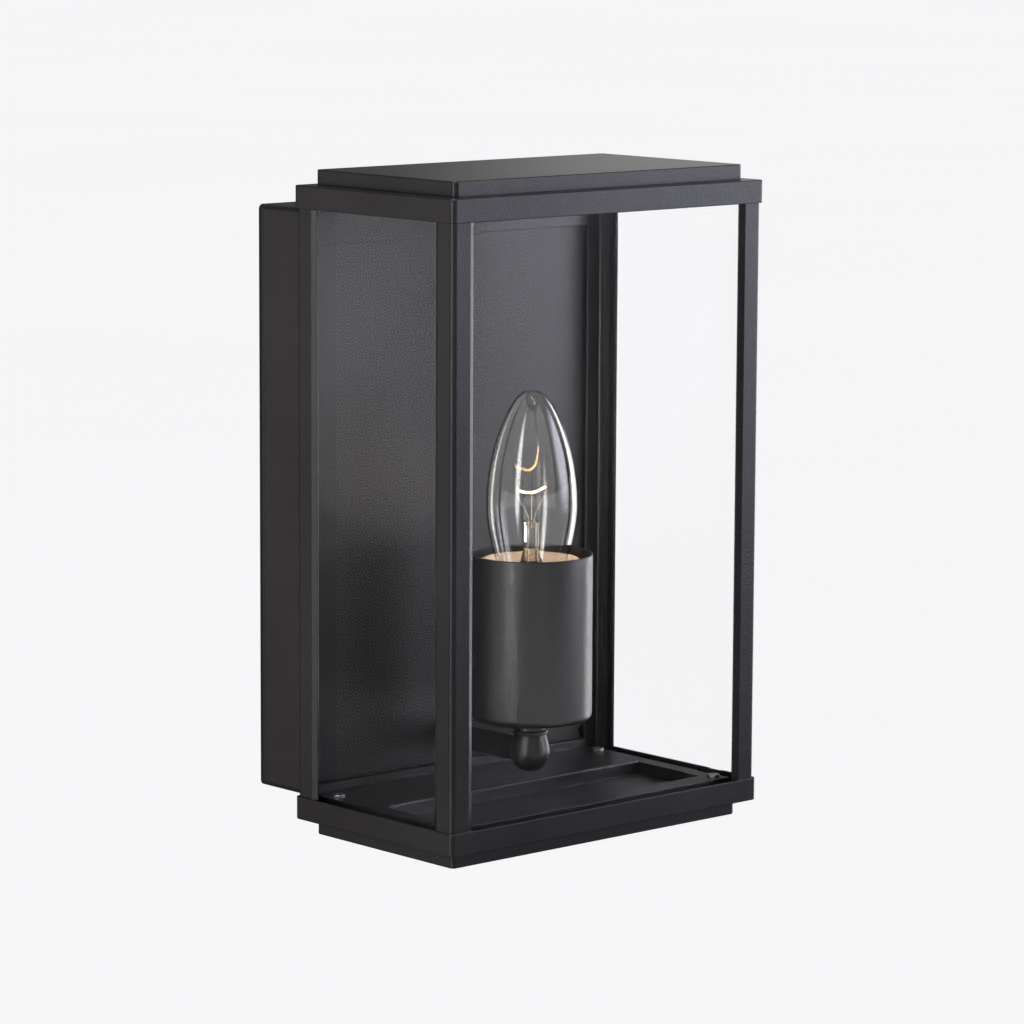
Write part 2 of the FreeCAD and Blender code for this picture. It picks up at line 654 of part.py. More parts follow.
def nipple_nuts():
    """Three thin nuts on the nipple: one in the cup, two round the bracket."""
    nuts = []
    for z in (CUP_Z + CUP_WALL, BRACKET_Z - NUT_H, HOLDER_Z):
        seat = Vector(0, LAMP_Y, z)
        nuts.append(hexagon(NUT_AF, seat, Z, NUT_H).cut(rod(ARM_BUSH_R + RUNNING, seat, Z, NUT_H)))
    return Part.makeCompound(nuts)


def lamp_cup():
    """Spun steel cup round the lampholder."""
    centre = Vector(0, LAMP_Y, CUP_Z)
    cup = rod(CUP_R, centre, Z, CUP_HEIGHT)
    foot = [e for e in cup.Edges if abs(e.CenterOfMass.z - CUP_Z) < 1e-6]
    cup = cup.makeFillet(CUP_EDGE_R, foot)
    inner = rod(CUP_R - CUP_WALL, centre + Z * CUP_WALL, Z, CUP_HEIGHT)
    foot = [e for e in inner.Edges if abs(e.CenterOfMass.z - CUP_Z - CUP_WALL) < 1e-6]
    inner = inner.makeFillet(CUP_EDGE_R - CUP_WALL, foot)
    cup = cup.cut(inner).cut(rod(ARM_BUSH_R + RUNNING, centre, Z, CUP_WALL))
    rim = [e for e in cup.Edges if abs(e.CenterOfMass.z - CUP_TOP) < 1e-6]
    return cup.makeFillet(CUP_WALL * CUP_RIM_ROUND, rim)


# ---------------------------------------------------------------- lampholder
def holder_bracket():
    """Steel disc under the porcelain, clamped on the nipple."""
    disc = rod(BRACKET_R, Vector(0, LAMP_Y, BRACKET_Z), Z, BRACKET)
    disc = disc.cut(rod(ARM_BUSH_R + RUNNING, Vector(0, LAMP_Y, BRACKET_Z), Z, BRACKET))
    for side in (-1, 1):
        place = Vector(0, LAMP_Y + side * HOLDER_SCREW_AT, BRACKET_Z)
        disc = disc.cut(rod(SCREW_R + RUNNING, place, Z, BRACKET))
    return disc


def holder_screws():
    """Two screws up through the bracket into the porcelain."""
    screws = []
    for side in (-1, 1):
        seat = Vector(0, LAMP_Y + side * HOLDER_SCREW_AT, BRACKET_Z)
        screws.append(pan_screw(SCREW_R, SCREW_HEAD_R, SCREW_HEAD_H, HOLDER_SCREW_LENGTH, seat, Z))
    return Part.makeCompound(screws)


def lampholder_body():
    """Glazed porcelain body, bored for the screw shell and the centre contact."""
    axis = Vector(0, LAMP_Y, 0)
    body = rod(HOLDER_R, axis + Z * HOLDER_Z, Z, HOLDER_HEIGHT)
    mouth = rod(MOUTH_R, axis + Z * (HOLDER_TOP - MOUTH_DEPTH), Z, MOUTH_DEPTH)
    bore = rod(SHELL_R + RUNNING, axis + Z * SHELL_Z, Z, HOLDER_TOP - SHELL_Z)
    seat = rod(CONTACT_R, axis + Z * SEAT_Z, Z, CONTACT_DEPTH)
    recess = rod(RECESS_R, axis + Z * HOLDER_Z, Z, RECESS_DEPTH)
    body = body.cut(mouth).cut(bore).cut(seat).cut(recess)
    for side in (-1, 1):
        place = Vector(0, LAMP_Y + side * HOLDER_SCREW_AT, HOLDER_Z)
        body = body.cut(rod(SCREW_R + RUNNING, place, Z, HOLDER_SCREW_LENGTH))
    rim = [e for e in body.Edges
           if abs(e.CenterOfMass.z - HOLDER_TOP) < 1e-6 and isinstance(e.Curve, Part.Circle)]
    return body.makeFillet(HOLDER_EDGE_R, rim)


def lampholder_shell():
    """Pressed screw shell with its seat ring."""
    axis = Vector(0, LAMP_Y, SHELL_Z)
    shell = ring(SHELL_R, SHELL_R - SHELL_WALL, axis, Z, SHELL_HEIGHT)
    return shell.fuse(ring(SHELL_R, CONTACT_R + SHELL_SEAT, axis, Z, SHELL_WALL)).removeSplitter()


def centre_contact():
    """Sprung centre contact, a folded strip just under the lamp's contact."""
    back = LAMP_Y + STRIP_REACH
    top = CONTACT_Z - STRIP_GAP
    strip = block(-STRIP_HALF, STRIP_HALF, LAMP_Y - STRIP_REACH, back, SEAT_Z, SEAT_Z + STRIP_SHEET)
    rise = block(-STRIP_HALF, STRIP_HALF, back - STRIP_SHEET, back, SEAT_Z, top)
    leaf = block(-STRIP_HALF, STRIP_HALF, LAMP_Y - LEAF_REACH, back, top - STRIP_SHEET, top)
    return strip.fuse(rise).fuse(leaf).removeSplitter()


def holder_terminals():
    """Two brass terminal blocks in the recess under the porcelain."""
    top = HOLDER_Z + RECESS_DEPTH
    blocks = []
    for side in (-1, 1):
        x0, x1 = sorted((side * TERMINAL_GAP, side * (TERMINAL_GAP + TERMINAL)))
        blocks.append(block(x0, x1, LAMP_Y - TERMINAL / 2, LAMP_Y + TERMINAL / 2, top - TERMINAL_H, top))
    return Part.makeCompound(blocks)


# ---------------------------------------------------------------- wiring in the wall box
def terminal_block():
    """Three-pole terminal block on the back of the wall box."""
    back = SHEET_FRONT
    body = block(-BLOCK_W / 2, BLOCK_W / 2, back - BLOCK_D, back, BLOCK_Z, BLOCK_Z + BLOCK_H)
    front_edges = edges_along(body, Z, lambda edge: edge.CenterOfMass.y < back - BLOCK_EDGE_R)
    body = body.makeFillet(BLOCK_EDGE_R, front_edges)
    for pole in (-1, 0, 1):
        for z in (BLOCK_Z + CLAMP_IN, BLOCK_Z + BLOCK_H - CLAMP_IN):
            body = body.cut(rod(CLAMP_R, Vector(pole * POLE, back - BLOCK_D, z), Y, CLAMP_DEPTH))
    for pole in (-1, 0, 1):
        for z in (BLOCK_Z, BLOCK_Z + BLOCK_H - WIRE_IN):
            body = body.cut(rod(WIRE_R + WIRE_CLEAR, Vector(pole * POLE, WIRE_Y, z), Z, WIRE_IN))
    return body


def terminal_screws():
    """Six clamping screws, sunk in the terminal block."""
    face = SHEET_FRONT - BLOCK_D
    screws = []
    for pole in (-1, 0, 1):
        for z in (BLOCK_Z + CLAMP_IN, BLOCK_Z + BLOCK_H - CLAMP_IN):
            x = pole * POLE
            head = rod(CLAMP_SCREW_R, Vector(x, face + CLAMP_SINK, z), Y, CLAMP_DEPTH - CLAMP_SINK)
            slot = block(x - CLAMP_SCREW_R, x + CLAMP_SCREW_R, face + CLAMP_SINK,
                         face + CLAMP_SINK + CLAMP_SLOT, z - CLAMP_SLOT_HALF, z + CLAMP_SLOT_HALF)
            screws.append(head.cut(slot))
    return Part.makeCompound(screws)


def earth_stud():
    """Threaded earth stud welded to the back of the box."""
    return rod(EARTH_R, Vector(EARTH_X, SHEET_FRONT, EARTH_Z), -Y, EARTH_STUD)


def earth_nuts():
    """Two nuts that clamp the earth lug on its stud."""
    nuts = []
    for y in (WIRE_Y + LUG / 2 + EARTH_NUT_H, WIRE_Y - LUG / 2):
        seat = Vector(EARTH_X, y, EARTH_Z)
        nut = hexagon(EARTH_NUT_AF, seat, -Y, EARTH_NUT_H)
        nuts.append(nut.cut(rod(EARTH_R + RUNNING, seat, -Y, EARTH_NUT_H)))
    return Part.makeCompound(nuts)


def earth_lug():
    """Ring terminal on the end of the earth wire."""
    eye = rod(LUG_R, Vector(EARTH_X, WIRE_Y + LUG / 2, EARTH_Z), -Y, LUG)
    tail = block(EARTH_X - LUG_HALF, EARTH_X + LUG_HALF, WIRE_Y - LUG / 2, WIRE_Y + LUG / 2,
                 EARTH_Z + LUG_TAIL[0], EARTH_Z + LUG_TAIL[1])
    barrel = rod(LUG_HALF, Vector(EARTH_X, WIRE_Y, EARTH_Z + LUG_BARREL[0]), Z, LUG_BARREL[1] - LUG_BARREL[0])
    lug = eye.fuse(tail).fuse(barrel)
    hole = rod(EARTH_R + RUNNING, Vector(EARTH_X, WIRE_Y + LUG / 2, EARTH_Z), -Y, LUG)
    return lug.cut(hole).removeSplitter()


def lamp_wire(side):
    """Insulated wire from the lampholder through hub and arm to the terminal block."""
    x = side * WIRE_SIDE
    pole = side * POLE
    top = HOLDER_Z + RECESS_DEPTH - TERMINAL_H
    return cable([Vector(x, LAMP_Y, top),
                  Vector(x, LAMP_Y, ARM_Z),
                  Vector(x, WIRE_Y, ARM_Z),
                  Vector(pole, WIRE_Y, BLOCK_Z - WIRE_DROP),
                  Vector(pole, WIRE_Y, BLOCK_Z + WIRE_IN)], WIRE_R, WIRE_BEND)


def earth_wire():
    """Earth wire over the terminal block to its lug."""
    high = BLOCK_Z + BLOCK_H + EARTH_LOOP
    return cable([Vector(0, WIRE_Y, BLOCK_Z + BLOCK_H - WIRE_IN),
                  Vector(0, WIRE_Y, high),
                  Vector(EARTH_X, WIRE_Y, high),
                  Vector(EARTH_X, WIRE_Y, EARTH_Z + LUG_BARREL[1])], WIRE_R, 2 * WIRE_BEND)


# ---------------------------------------------------------------- roof
def roof_cap():
    """Upper step of the roof, a shallow folded tray turned upside down."""
    return tray(SIDE - TIER_INSET, FRONT + TIER_INSET, REAR - TIER_INSET, TOP, TOP - TIER_HEIGHT,
                SHEET, CORNER_R, EDGE_R)


def roof_frame():
    """Roof rim with its top sheet, notched at the back for the upper hanger."""
    frame = tray(SIDE, FRONT, REAR, TOP - TIER_HEIGHT, EAVES, SHEET, CORNER_R, EDGE_R)
    half = HANGER_WIDTH / 2 + HANGER_CLEAR
    frame = frame.cut(block(-half, half, REAR - SHEET, REAR, EAVES, EAVES + HANGER + HANGER_CLEAR))
    for x, y in corners():
        frame = frame.cut(rod(SCREW_R + RUNNING, Vector(x, y, TOP - TIER_HEIGHT - SHEET), Z, SHEET))
    return frame


def roof_studs():
    """Four studs welded under the roof cap."""
    low = TOP - TIER_HEIGHT - SHEET - STUD_TAIL
    return Part.makeCompound([rod(SCREW_R, Vector(x, y, low), Z, TOP - SHEET - low) for x, y in corners()])


def roof_nuts():
    """Four nuts that pull the roof cap down on the rim."""
    nuts = []
    for x, y in corners():
        seat = Vector(x, y, TOP - TIER_HEIGHT - SHEET)
        nut = hexagon(ROOF_NUT_AF, seat, -Z, ROOF_NUT_H)
        nuts.append(nut.cut(rod(SCREW_R + RUNNING, seat, -Z, ROOF_NUT_H)))
    return Part.makeCompound(nuts)


def upper_guide():
    """Saddle under the roof that rides on the upper hanger."""
    half = HANGER_WIDTH / 2 + HANGER_CLEAR
    y1 = HANGER_FRONT + GUIDE_LENGTH / 2
    y0 = y1 - GUIDE_LENGTH
    roof = TOP - TIER_HEIGHT - SHEET
    saddle = block(-half - GUIDE_SHEET, half + GUIDE_SHEET, y0, y1, EAVES, roof)
    saddle = saddle.cut(block(-half, half, y0, y1, EAVES, EAVES + HANGER + HANGER_CLEAR))
    return saddle.cut(block(-half, half, y0, y1, EAVES + HANGER + HANGER_CLEAR + GUIDE_SHEET, roof))


def rear_top_rail():
    """Flat rail between the rear posts under the roof."""
    half = POST_X - POST_BACK_LEG - RAIL_SIDE_GAP
    return block(-half, half, POST_REAR - POST_SHEET, POST_REAR, EAVES - RAIL_HEIGHT, EAVES - RAIL_TOP_GAP)


# ---------------------------------------------------------------- posts and glazing
def post_outline(lipped_back):
    """Post section at the origin corner, with its legs along +X and +Y."""
    t = POST_SHEET
    angle = math.atan2(POST_FOLD, POST_LIP)
    across = t * math.sin(angle)
    inward = t * math.cos(angle)
    turn = t * math.tan(angle / 2)
    flat = POST_LEG - POST_LIP

    def leg(lipped, length):
        if lipped:
            return [(flat, 0), (POST_LEG, POST_FOLD), (POST_LEG - across, POST_FOLD + inward),
                    (flat - turn, t)]
        return [(length, 0), (length, t)]

    along_x = leg(lipped_back, POST_BACK_LEG)
    along_y = [(y, x) for x, y in leg(True, POST_LEG)]
    half = math.sqrt(0.5)
    outer_mid = (CORNER_R * (1 - half), CORNER_R * (1 - half))
    inner_r = CORNER_R - t
    inner_mid = (t + inner_r * (1 - half), t + inner_r * (1 - half))
    path = [(CORNER_R, 0)] + along_x + [(CORNER_R, t)]
    back = [(t, CORNER_R)] + along_y[::-1] + [(0, CORNER_R)]
    edges = []
    for start, end in zip(path, path[1:]):
        edges.append(Part.LineSegment(Vector(*start, 0), Vector(*end, 0)).toShape())
    edges.append(Part.Arc(Vector(*path[-1], 0), Vector(*inner_mid, 0), Vector(*back[0], 0)).toShape())
    for start, end in zip(back, back[1:]):
        edges.append(Part.LineSegment(Vector(*start, 0), Vector(*end, 0)).toShape())
    edges.append(Part.Arc(Vector(*back[-1], 0), Vector(*outer_mid, 0), Vector(*path[0], 0)).toShape())
    return Part.Wire(edges)


def post(side, front):
    """Roll-formed corner post; side is -1 on the left and 1 on the right."""
    low = DECK - POST_LAP
    length = EAVES + POST_LAP - low
    solid = Part.Face(post_outline(front)).extrude(Vector(0, 0, length))
    if not front:
        solid = solid.mirror(Vector(0, 0, 0), Y)
    if side > 0:
        solid = solid.mirror(Vector(0, 0, 0), X)
    solid.translate(Vector(side * POST_X, POST_FRONT if front else POST_REAR, low))
    return solid


def bevelled(width):
    """Pane in the XZ plane with its outer, bevelled face towards -Y."""
    height = PANE_TOP - PANE_FOOT
    step = GLASS - BEVEL_EDGE
    full = [(-width / 2, 0), (width / 2, 0), (width / 2, height), (-width / 2, height)]
    inset = [(-width / 2 + BEVEL, BEVEL), (width / 2 - BEVEL, BEVEL),
             (width / 2 - BEVEL, height - BEVEL), (-width / 2 + BEVEL, height - BEVEL)]

    def loop(points, y):
        vectors = [Vector(x, y, z) for x, z in points]
        return Part.makePolygon(vectors + [vectors[0]])

    sheet = Part.Face(loop(full, step)).extrude(Vector(0, BEVEL_EDGE, 0))
    crown = Part.makeLoft([loop(full, step), loop(inset, 0)], True, True)
    return sheet.fuse(crown).removeSplitter()


def pane_front():
    """Bevelled front pane."""
    pane = bevelled(2 * (POST_X - POST_LEG + PANE_LAP))
    pane.translate(Vector(0, PANE_FRONT, PANE_FOOT))
    return pane


def pane_side(side):
    """Bevelled side pane, between the front pane and the rear post."""
    start = PANE_FRONT + GLASS + PANE_CORNER
    end = POST_REAR - POST_LEG + PANE_LAP
    pane = bevelled(end - start)
    pane.rotate(Vector(0, 0, 0), Z, 90 * side)
    pane.translate(Vector(side * PANE_SIDE, (start + end) / 2, PANE_FOOT))
    return pane


def seal_section(pane_edge, pane_set):
    """Strip section at the origin corner, from the post's leg at the bottom to the pane's bevel."""
    start = POST_LEG - POST_LIP - SEAL_SETBACK
    slope = (GLASS - BEVEL_EDGE) / BEVEL
    depth = GLASS - BEVEL_EDGE
    path = [Vector(pane_edge, POST_SHEET, 0),
            Vector(start, POST_SHEET, 0),
            Vector(start, pane_set + depth - (start - pane_edge) * slope, 0),
            Vector(pane_edge, pane_set + depth, 0)]
    return Part.Face(Part.makePolygon(path + [path[0]]))


def pane_seals():
    """Six silicone strips between the post legs and the edges of the panes."""
    height = Vector(0, 0, PANE_TOP - PANE_FOOT)
    front = seal_section(POST_LEG - PANE_LAP, PANE_SET).extrude(height)
    side = front.mirror(Vector(0, 0, 0), Vector(1, -1, 0).normalize())
    start = PANE_FRONT + GLASS + PANE_CORNER - POST_FRONT
    side_front = seal_section(start, PANE_SET).extrude(height)
    side_front = side_front.mirror(Vector(0, 0, 0), Vector(1, -1, 0).normalize())
    strips = []
    for piece, y, flip in ((front, POST_FRONT, False), (side_front, POST_FRONT, False),
                           (side, POST_REAR, True)):
        if flip:
            piece = piece.mirror(Vector(0, 0, 0), Y)
        left = piece.copy()
        left.translate(Vector(-POST_X, y, PANE_FOOT))
        strips.append(left)
        strips.append(left.mirror(Vector(0, 0, 0), X))
    return Part.makeCompound(strips)


def setting_blocks():
    """Six rubber blocks that the panes stand on."""
    floor = RIM_FLOOR + SHEET
    half = BLOCK_LENGTH / 2
    blocks = []
    for x in (-SIDE * FRONT_BLOCK_AT, SIDE * FRONT_BLOCK_AT):
        blocks.append(block(x - half, x + half, PANE_FRONT, PANE_FRONT + GLASS, floor, PANE_FOOT))
    for side in (-1, 1):
        x0, x1 = sorted((side * PANE_SIDE, side * (PANE_SIDE - GLASS)))
        for share in SIDE_BLOCKS_AT:
            y = FRONT + RIM_DEPTH * share
            blocks.append(block(x0, x1, y - half, y + half, floor, PANE_FOOT))
    return Part.makeCompound(blocks)


# ---------------------------------------------------------------- base
def deck():
    """Inner floor: turned-down edges, a shallow well and a low lip at the back."""
    low = RIM_FLOOR + SHEET
    inner = DECK_SIDE - SHEET
    plate = block(-DECK_SIDE, DECK_SIDE, DECK_FRONT, DECK_REAR, low, DECK)
    hollow = block(-inner, inner, DECK_FRONT + SHEET, DECK_REAR, low, DECK - SHEET)
    shell = plate.cut(hollow)
    floor = DECK - WELL_DEPTH
    pan = block(-WELL_X - SHEET, WELL_X + SHEET, WELL_FRONT - SHEET, WELL_REAR + SHEET,
                floor - SHEET, DECK)
    dish = block(-WELL_X, WELL_X, WELL_FRONT, WELL_REAR, floor, DECK)
    lip_half = POST_X - POST_BACK_LEG - REAR_LIP_GAP
    lip = block(-lip_half, lip_half, DECK_REAR - SHEET, DECK_REAR, DECK - SHEET, DECK + REAR_LIP)
    bead = rod(BEAD, Vector(-WELL_X, WELL_REAR + BEAD, DECK), X, 2 * WELL_X)
    bead = bead.common(block(-WELL_X, WELL_X, WELL_REAR, WELL_REAR + 2 * BEAD, DECK - BEAD, DECK + BEAD))
    base = shell.fuse(pan).cut(dish).fuse(lip).fuse(bead).removeSplitter()
    for x, y in corners():
        base = base.cut(rod(SCREW_R + RUNNING, Vector(x, y, DECK - SHEET), Z, SHEET))
    return base


def deck_screws():
    """Four bright corner screws through the deck."""
    return Part.makeCompound([
        pan_screw(SCREW_R, SCREW_HEAD_R, SCREW_HEAD_H, SCREW_LENGTH, Vector(x, y, DECK), -Z)
        for x, y in corners()])


def standoffs():
    """Four round standoffs that tie tray, frame and deck together."""
    low = FLOOR + SHEET
    pillars = []
    for x, y in corners():
        pillar = rod(STANDOFF_R, Vector(x, y, low), Z, DECK - SHEET - low)
        pillars.append(pillar.cut(rod(SCREW_R + RUNNING, Vector(x, y, DECK - SHEET), -Z, SCREW_LENGTH)))
    return Part.makeCompound(pillars)


def bottom_frame():
    """Base rim with its floor sheet, slotted at the back for the lower hanger."""
    frame = tray(SIDE, FRONT, REAR, RIM_FLOOR, DECK, SHEET, CORNER_R, EDGE_R)
    half = HANGER_WIDTH / 2 + HANGER_CLEAR
    frame = frame.cut(block(-half, half, REAR - SHEET, REAR,
                            LOWER_FOOT - HANGER_CLEAR, LOWER_TOP + HANGER_CLEAR))
    for x, y in corners():
        frame = frame.cut(rod(STANDOFF_R + SHEET_HOLE, Vector(x, y, RIM_FLOOR), Z, SHEET))
    return frame.cut(rod(BUSH_NECK_R + SHEET_HOLE, Vector(0, LOCK_Y, RIM_FLOOR), Z, SHEET))


def base_tray():
    """Lower step of the base, a shallow folded tray."""
    base = tray(SIDE - TIER_INSET, FRONT + TIER_INSET, REAR - TIER_INSET, FLOOR, RIM_FLOOR,
                SHEET, CORNER_R, EDGE_R)
    return base.cut(rod(BUSH_R + SHEET_HOLE, Vector(0, LOCK_Y, FLOOR), Z, SHEET))


# ---------------------------------------------------------------- lock under the base
def lock_bush():
    """Threaded bush with a counterbore that hides the lock screw's head."""
    foot = Vector(0, LOCK_Y, FLOOR)
    top = LOCK_TIP - BUSH_SHORT
    bush = rod(BUSH_R, foot, Z, TIER_HEIGHT).fuse(rod(BUSH_NECK_R, foot, Z, top - FLOOR))
    counter = LOCK_HEAD_H + LOCK_WASHER + LOCK_RECESS
    bush = bush.cut(rod(LOCK_HEAD_R + LOCK_HEAD_CLEAR, foot, Z, counter))
    return bush.cut(rod(LOCK_R + RUNNING, foot, Z, top - FLOOR)).removeSplitter()


def lock_washer():
    """Nylon washer that rides on the lock screw."""
    seat = Vector(0, LOCK_Y, FLOOR + LOCK_HEAD_H + LOCK_RECESS)
    return ring(LOCK_HEAD_R - LOCK_WASHER_IN, LOCK_R + RUNNING, seat, Z, LOCK_WASHER)


def lock_screw():
    """Knurled screw that bears on the underside of the lower hanger."""
    foot = Vector(0, LOCK_Y, FLOOR + LOCK_RECESS)
    head = rod(LOCK_HEAD_R, foot, Z, LOCK_HEAD_H)
    for k in range(LOCK_GROOVES):
        angle = 2 * math.pi * k / LOCK_GROOVES
        spot = foot + Vector(math.cos(angle), math.sin(angle), 0) * LOCK_HEAD_R
        head = head.cut(rod(LOCK_GROOVE_R, spot, Z, LOCK_HEAD_H))
    slot = block(-LOCK_HEAD_R, LOCK_HEAD_R, LOCK_Y - LOCK_SLOT_HALF, LOCK_Y + LOCK_SLOT_HALF,
                 foot.z, foot.z + LOCK_SLOT_DEPTH)
    head = head.cut(slot)
    shank = rod(LOCK_R, foot + Z * LOCK_HEAD_H, Z, LOCK_TIP - foot.z - LOCK_HEAD_H)
    return head.fuse(shank).removeSplitter()


# ---------------------------------------------------------------- lamp
def bulb_radius(z, wall):
    """Outer radius of the candle bulb at a height, less a wall."""
    top = BULB_TOP - wall
    if z >= WIDEST_Z:
        share = min((z - WIDEST_Z) / top, 1.0)
        return (BULB_R - wall) * (1 - share ** 2) ** (TIP_FULLNESS - TIP_BLUNTNESS * share ** TIP_ONSET)
    share = (WIDEST_Z - z) / BULB_NECK
    return BULB_R - wall - (BULB_R - BULB_NECK_R) * share ** NECK_CURVE


def bulb_profile(wall):
    """Side of the bulb from neck to tip as one smooth curve of (radius, z) points."""
    top = BULB_TOP - wall
    levels = [NECK_Z + BULB_NECK * k / NECK_POINTS for k in range(NECK_POINTS)]
    points = [Vector(bulb_radius(z, wall), LAMP_Y, z) for z in levels]
    for k in range(TIP_POINTS + 1):
        z = WIDEST_Z + top * math.sin(math.pi / 2 * k / TIP_POINTS)
        points.append(Vector(bulb_radius(z, wall), LAMP_Y, z))
    curve = Part.BSplineCurve()
    curve.interpolate(points, InitialTangent=points[1] - points[0], FinalTangent=-X)
    return curve.toShape(), points[0], points[-1]


def bulb_solid(wall):
    """Solid enclosed by the bulb profile."""
    side, neck, tip = bulb_profile(wall)
    foot = Vector(0, LAMP_Y, neck.z)
    edges = [Part.LineSegment(foot, neck).toShape(), side, Part.LineSegment(tip, foot).toShape()]
    return Part.Face(Part.Wire(edges)).revolve(Vector(0, LAMP_Y, 0), Z, 360)


def bulb_glass():
    """Clear blown candle envelope, open at the neck."""
    return bulb_solid(0).cut(bulb_solid(BULB_WALL))


def bulb_cap():
    """Rolled screw cap; the thread is drawn as rings so that it can turn in its shell."""
    root = CAP_R - CAP_THREAD
    outer = [(root, CAP_Z)]
    for k in range(CAP_TURNS):
        base = CAP_Z + CAP_THREAD_FROM + k * CAP_PITCH
        rise, fall, end = [base + CAP_PITCH * share for share in CAP_CREST]
        outer += [(root, base), (CAP_R, rise), (CAP_R, fall), (root, end)]
    collar = root + CAP_COLLAR_OUT
    shoulder = CAP_TOP - CAP_COLLAR
    outer += [(root, shoulder), (collar, shoulder + CAP_COLLAR_SLOPE), (collar, CAP_TOP)]
    inner = root - CAP_WALL
    return revolve(outer + [(inner, CAP_TOP), (inner, CAP_Z)], Vector(0, LAMP_Y, 0))


def bulb_insulator():
    """Black glass insulator under the cap."""
    root = CAP_R - CAP_THREAD - CAP_WALL
    low = CONTACT_Z + LAMP_CONTACT_H
    high = CAP_Z + INSULATOR_IN_CAP
    points = [(0, low), (LAMP_CONTACT_R, low), (root, CAP_Z - INSULATOR_DROP), (root, high), (0, high)]
    return revolve(points, Vector(0, LAMP_Y, 0))


def bulb_contact():
    """Solder-domed centre contact of the lamp."""
    contact = rod(LAMP_CONTACT_R, Vector(0, LAMP_Y, CONTACT_Z), Z, LAMP_CONTACT_H)
    rim = [e for e in contact.Edges if abs(e.CenterOfMass.z - CONTACT_Z) < 1e-6]
    return contact.makeFillet(LAMP_CONTACT_ROUND, rim)


def bulb_stem():
    """Flared glass stem that carries the wires."""
    flare = NECK_Z + STEM_FOOT
    points = [(0, flare), (BULB_NECK_R - BULB_WALL - STEM_FOOT_GAP, flare),
              (STEM_WAIST_R, flare + STEM_WAIST), (STEM_R, flare + STEM_STRAIGHT),
              (STEM_R, STEM_TOP - STEM_PINCH), (STEM_R + STEM_PINCH_OUT, STEM_TOP - STEM_PINCH_TOP),
              (STEM_R, STEM_TOP), (0, STEM_TOP)]
    return revolve(points, Vector(0, LAMP_Y, 0))


def filament_ends():
    """Where the filament is hooked to its two lead wires."""
    z = WIDEST_Z + FILAMENT_UP
    return (Vector(-FILAMENT_SPAN / 2, LAMP_Y, z), Vector(FILAMENT_SPAN / 2, LAMP_Y, z))


def bulb_leads():
    """Two lead wires from the stem to the filament, and a middle support wire."""
    leads = []
    for end in filament_ends():
        side = LEAD_SIDE if end.x > 0 else -LEAD_SIDE
        leads.append(cable([Vector(side, LAMP_Y, STEM_TOP),
                            Vector(side, LAMP_Y, STEM_TOP + LEAD_RISE),
                            Vector(end.x, LAMP_Y, end.z - LEAD_BELOW),
                            Vector(end.x, LAMP_Y, end.z + LEAD_ABOVE)], LEAD_R, LEAD_BEND))
    height = WIDEST_Z + FILAMENT_UP - FILAMENT_SAG - SUPPORT_SHORT - STEM_TOP
    support = rod(LEAD_R * SUPPORT_SHARE, Vector(0, LAMP_Y, STEM_TOP), Z, height)
    return Part.makeCompound(leads + [support])


def bulb_filament():
    """Coiled filament, drawn as its outer tube, sagging between the leads."""
    left, right = filament_ends()
    gap = LEAD_R + FILAMENT_GAP
    left = left + X * gap
    right = right - X * gap
    middle = Vector(0, LAMP_Y, left.z - FILAMENT_SAG)
    arc = Part.Arc(left, middle, right)
    path = Part.Wire([arc.toShape()])
    section = Part.Wire([Part.makeCircle(FILAMENT_R, left, arc.tangent(arc.FirstParameter)[0])])
    return path.makePipeShell([section], True, False)


NODES = {
    "wall_gasket": wall_gasket,
    "wall_box": wall_box,
    "box_back": box_back,
    "cable_grommet": cable_grommet,
    "back_plate": back_plate,
    "back_plate_screws": back_plate_screws,
    "upper_hanger": upper_hanger,
    "lower_hanger": lower_hanger,
    "hanger_rivets": hanger_rivets,
    "arm_tube": arm_tube,
    "arm_bush": arm_bush,
    "arm_nut": arm_nut,
    "lamp_hub": lamp_hub,
    "hub_nipple": hub_nipple,
    "nipple_nuts": nipple_nuts,
    "lamp_cup": lamp_cup,
    "holder_bracket": holder_bracket,
    "holder_screws": holder_screws,
    "lampholder_body": lampholder_body,
    "lampholder_shell": lampholder_shell,
    "centre_contact": centre_contact,
    "holder_terminals": holder_terminals,
    "terminal_block": terminal_block,
    "terminal_screws": terminal_screws,
    "earth_stud": earth_stud,
    "earth_nuts": earth_nuts,
    "earth_lug": earth_lug,
    "live_wire": lambda: lamp_wire(-1),
    "neutral_wire": lambda: lamp_wire(1),
    "earth_wire": earth_wire,
    "roof_cap": roof_cap,
    "roof_studs": roof_studs,
    "roof_nuts": roof_nuts,
    "roof_frame": roof_frame,
    "upper_guide": upper_guide,
    "rear_top_rail": rear_top_rail,
    "post_front_left": lambda: post(-1, True),
    "post_front_right": lambda: post(1, True),
    "post_rear_left": lambda: post(-1, False),
    "post_rear_right": lambda: post(1, False),
    "pane_front": pane_front,
    "pane_left": lambda: pane_side(-1),
    "pane_right": lambda: pane_side(1),
    "pane_seals": pane_seals,
    "setting_blocks": setting_blocks,
    "deck": deck,
    "deck_screws": deck_screws,
    "standoffs": standoffs,
    "bottom_frame": bottom_frame,
    "base_tray": base_tray,
    "lock_bush": lock_bush,
    "lock_washer": lock_washer,
    "lock_screw": lock_screw,
    "bulb_contact": bulb_contact,
    "bulb_insulator": bulb_insulator,
    "bulb_cap": bulb_cap,
    "bulb_glass": bulb_glass,
    "bulb_stem": bulb_stem,
    "bulb_leads": bulb_leads,
    "bulb_filament": bulb_filament,
}

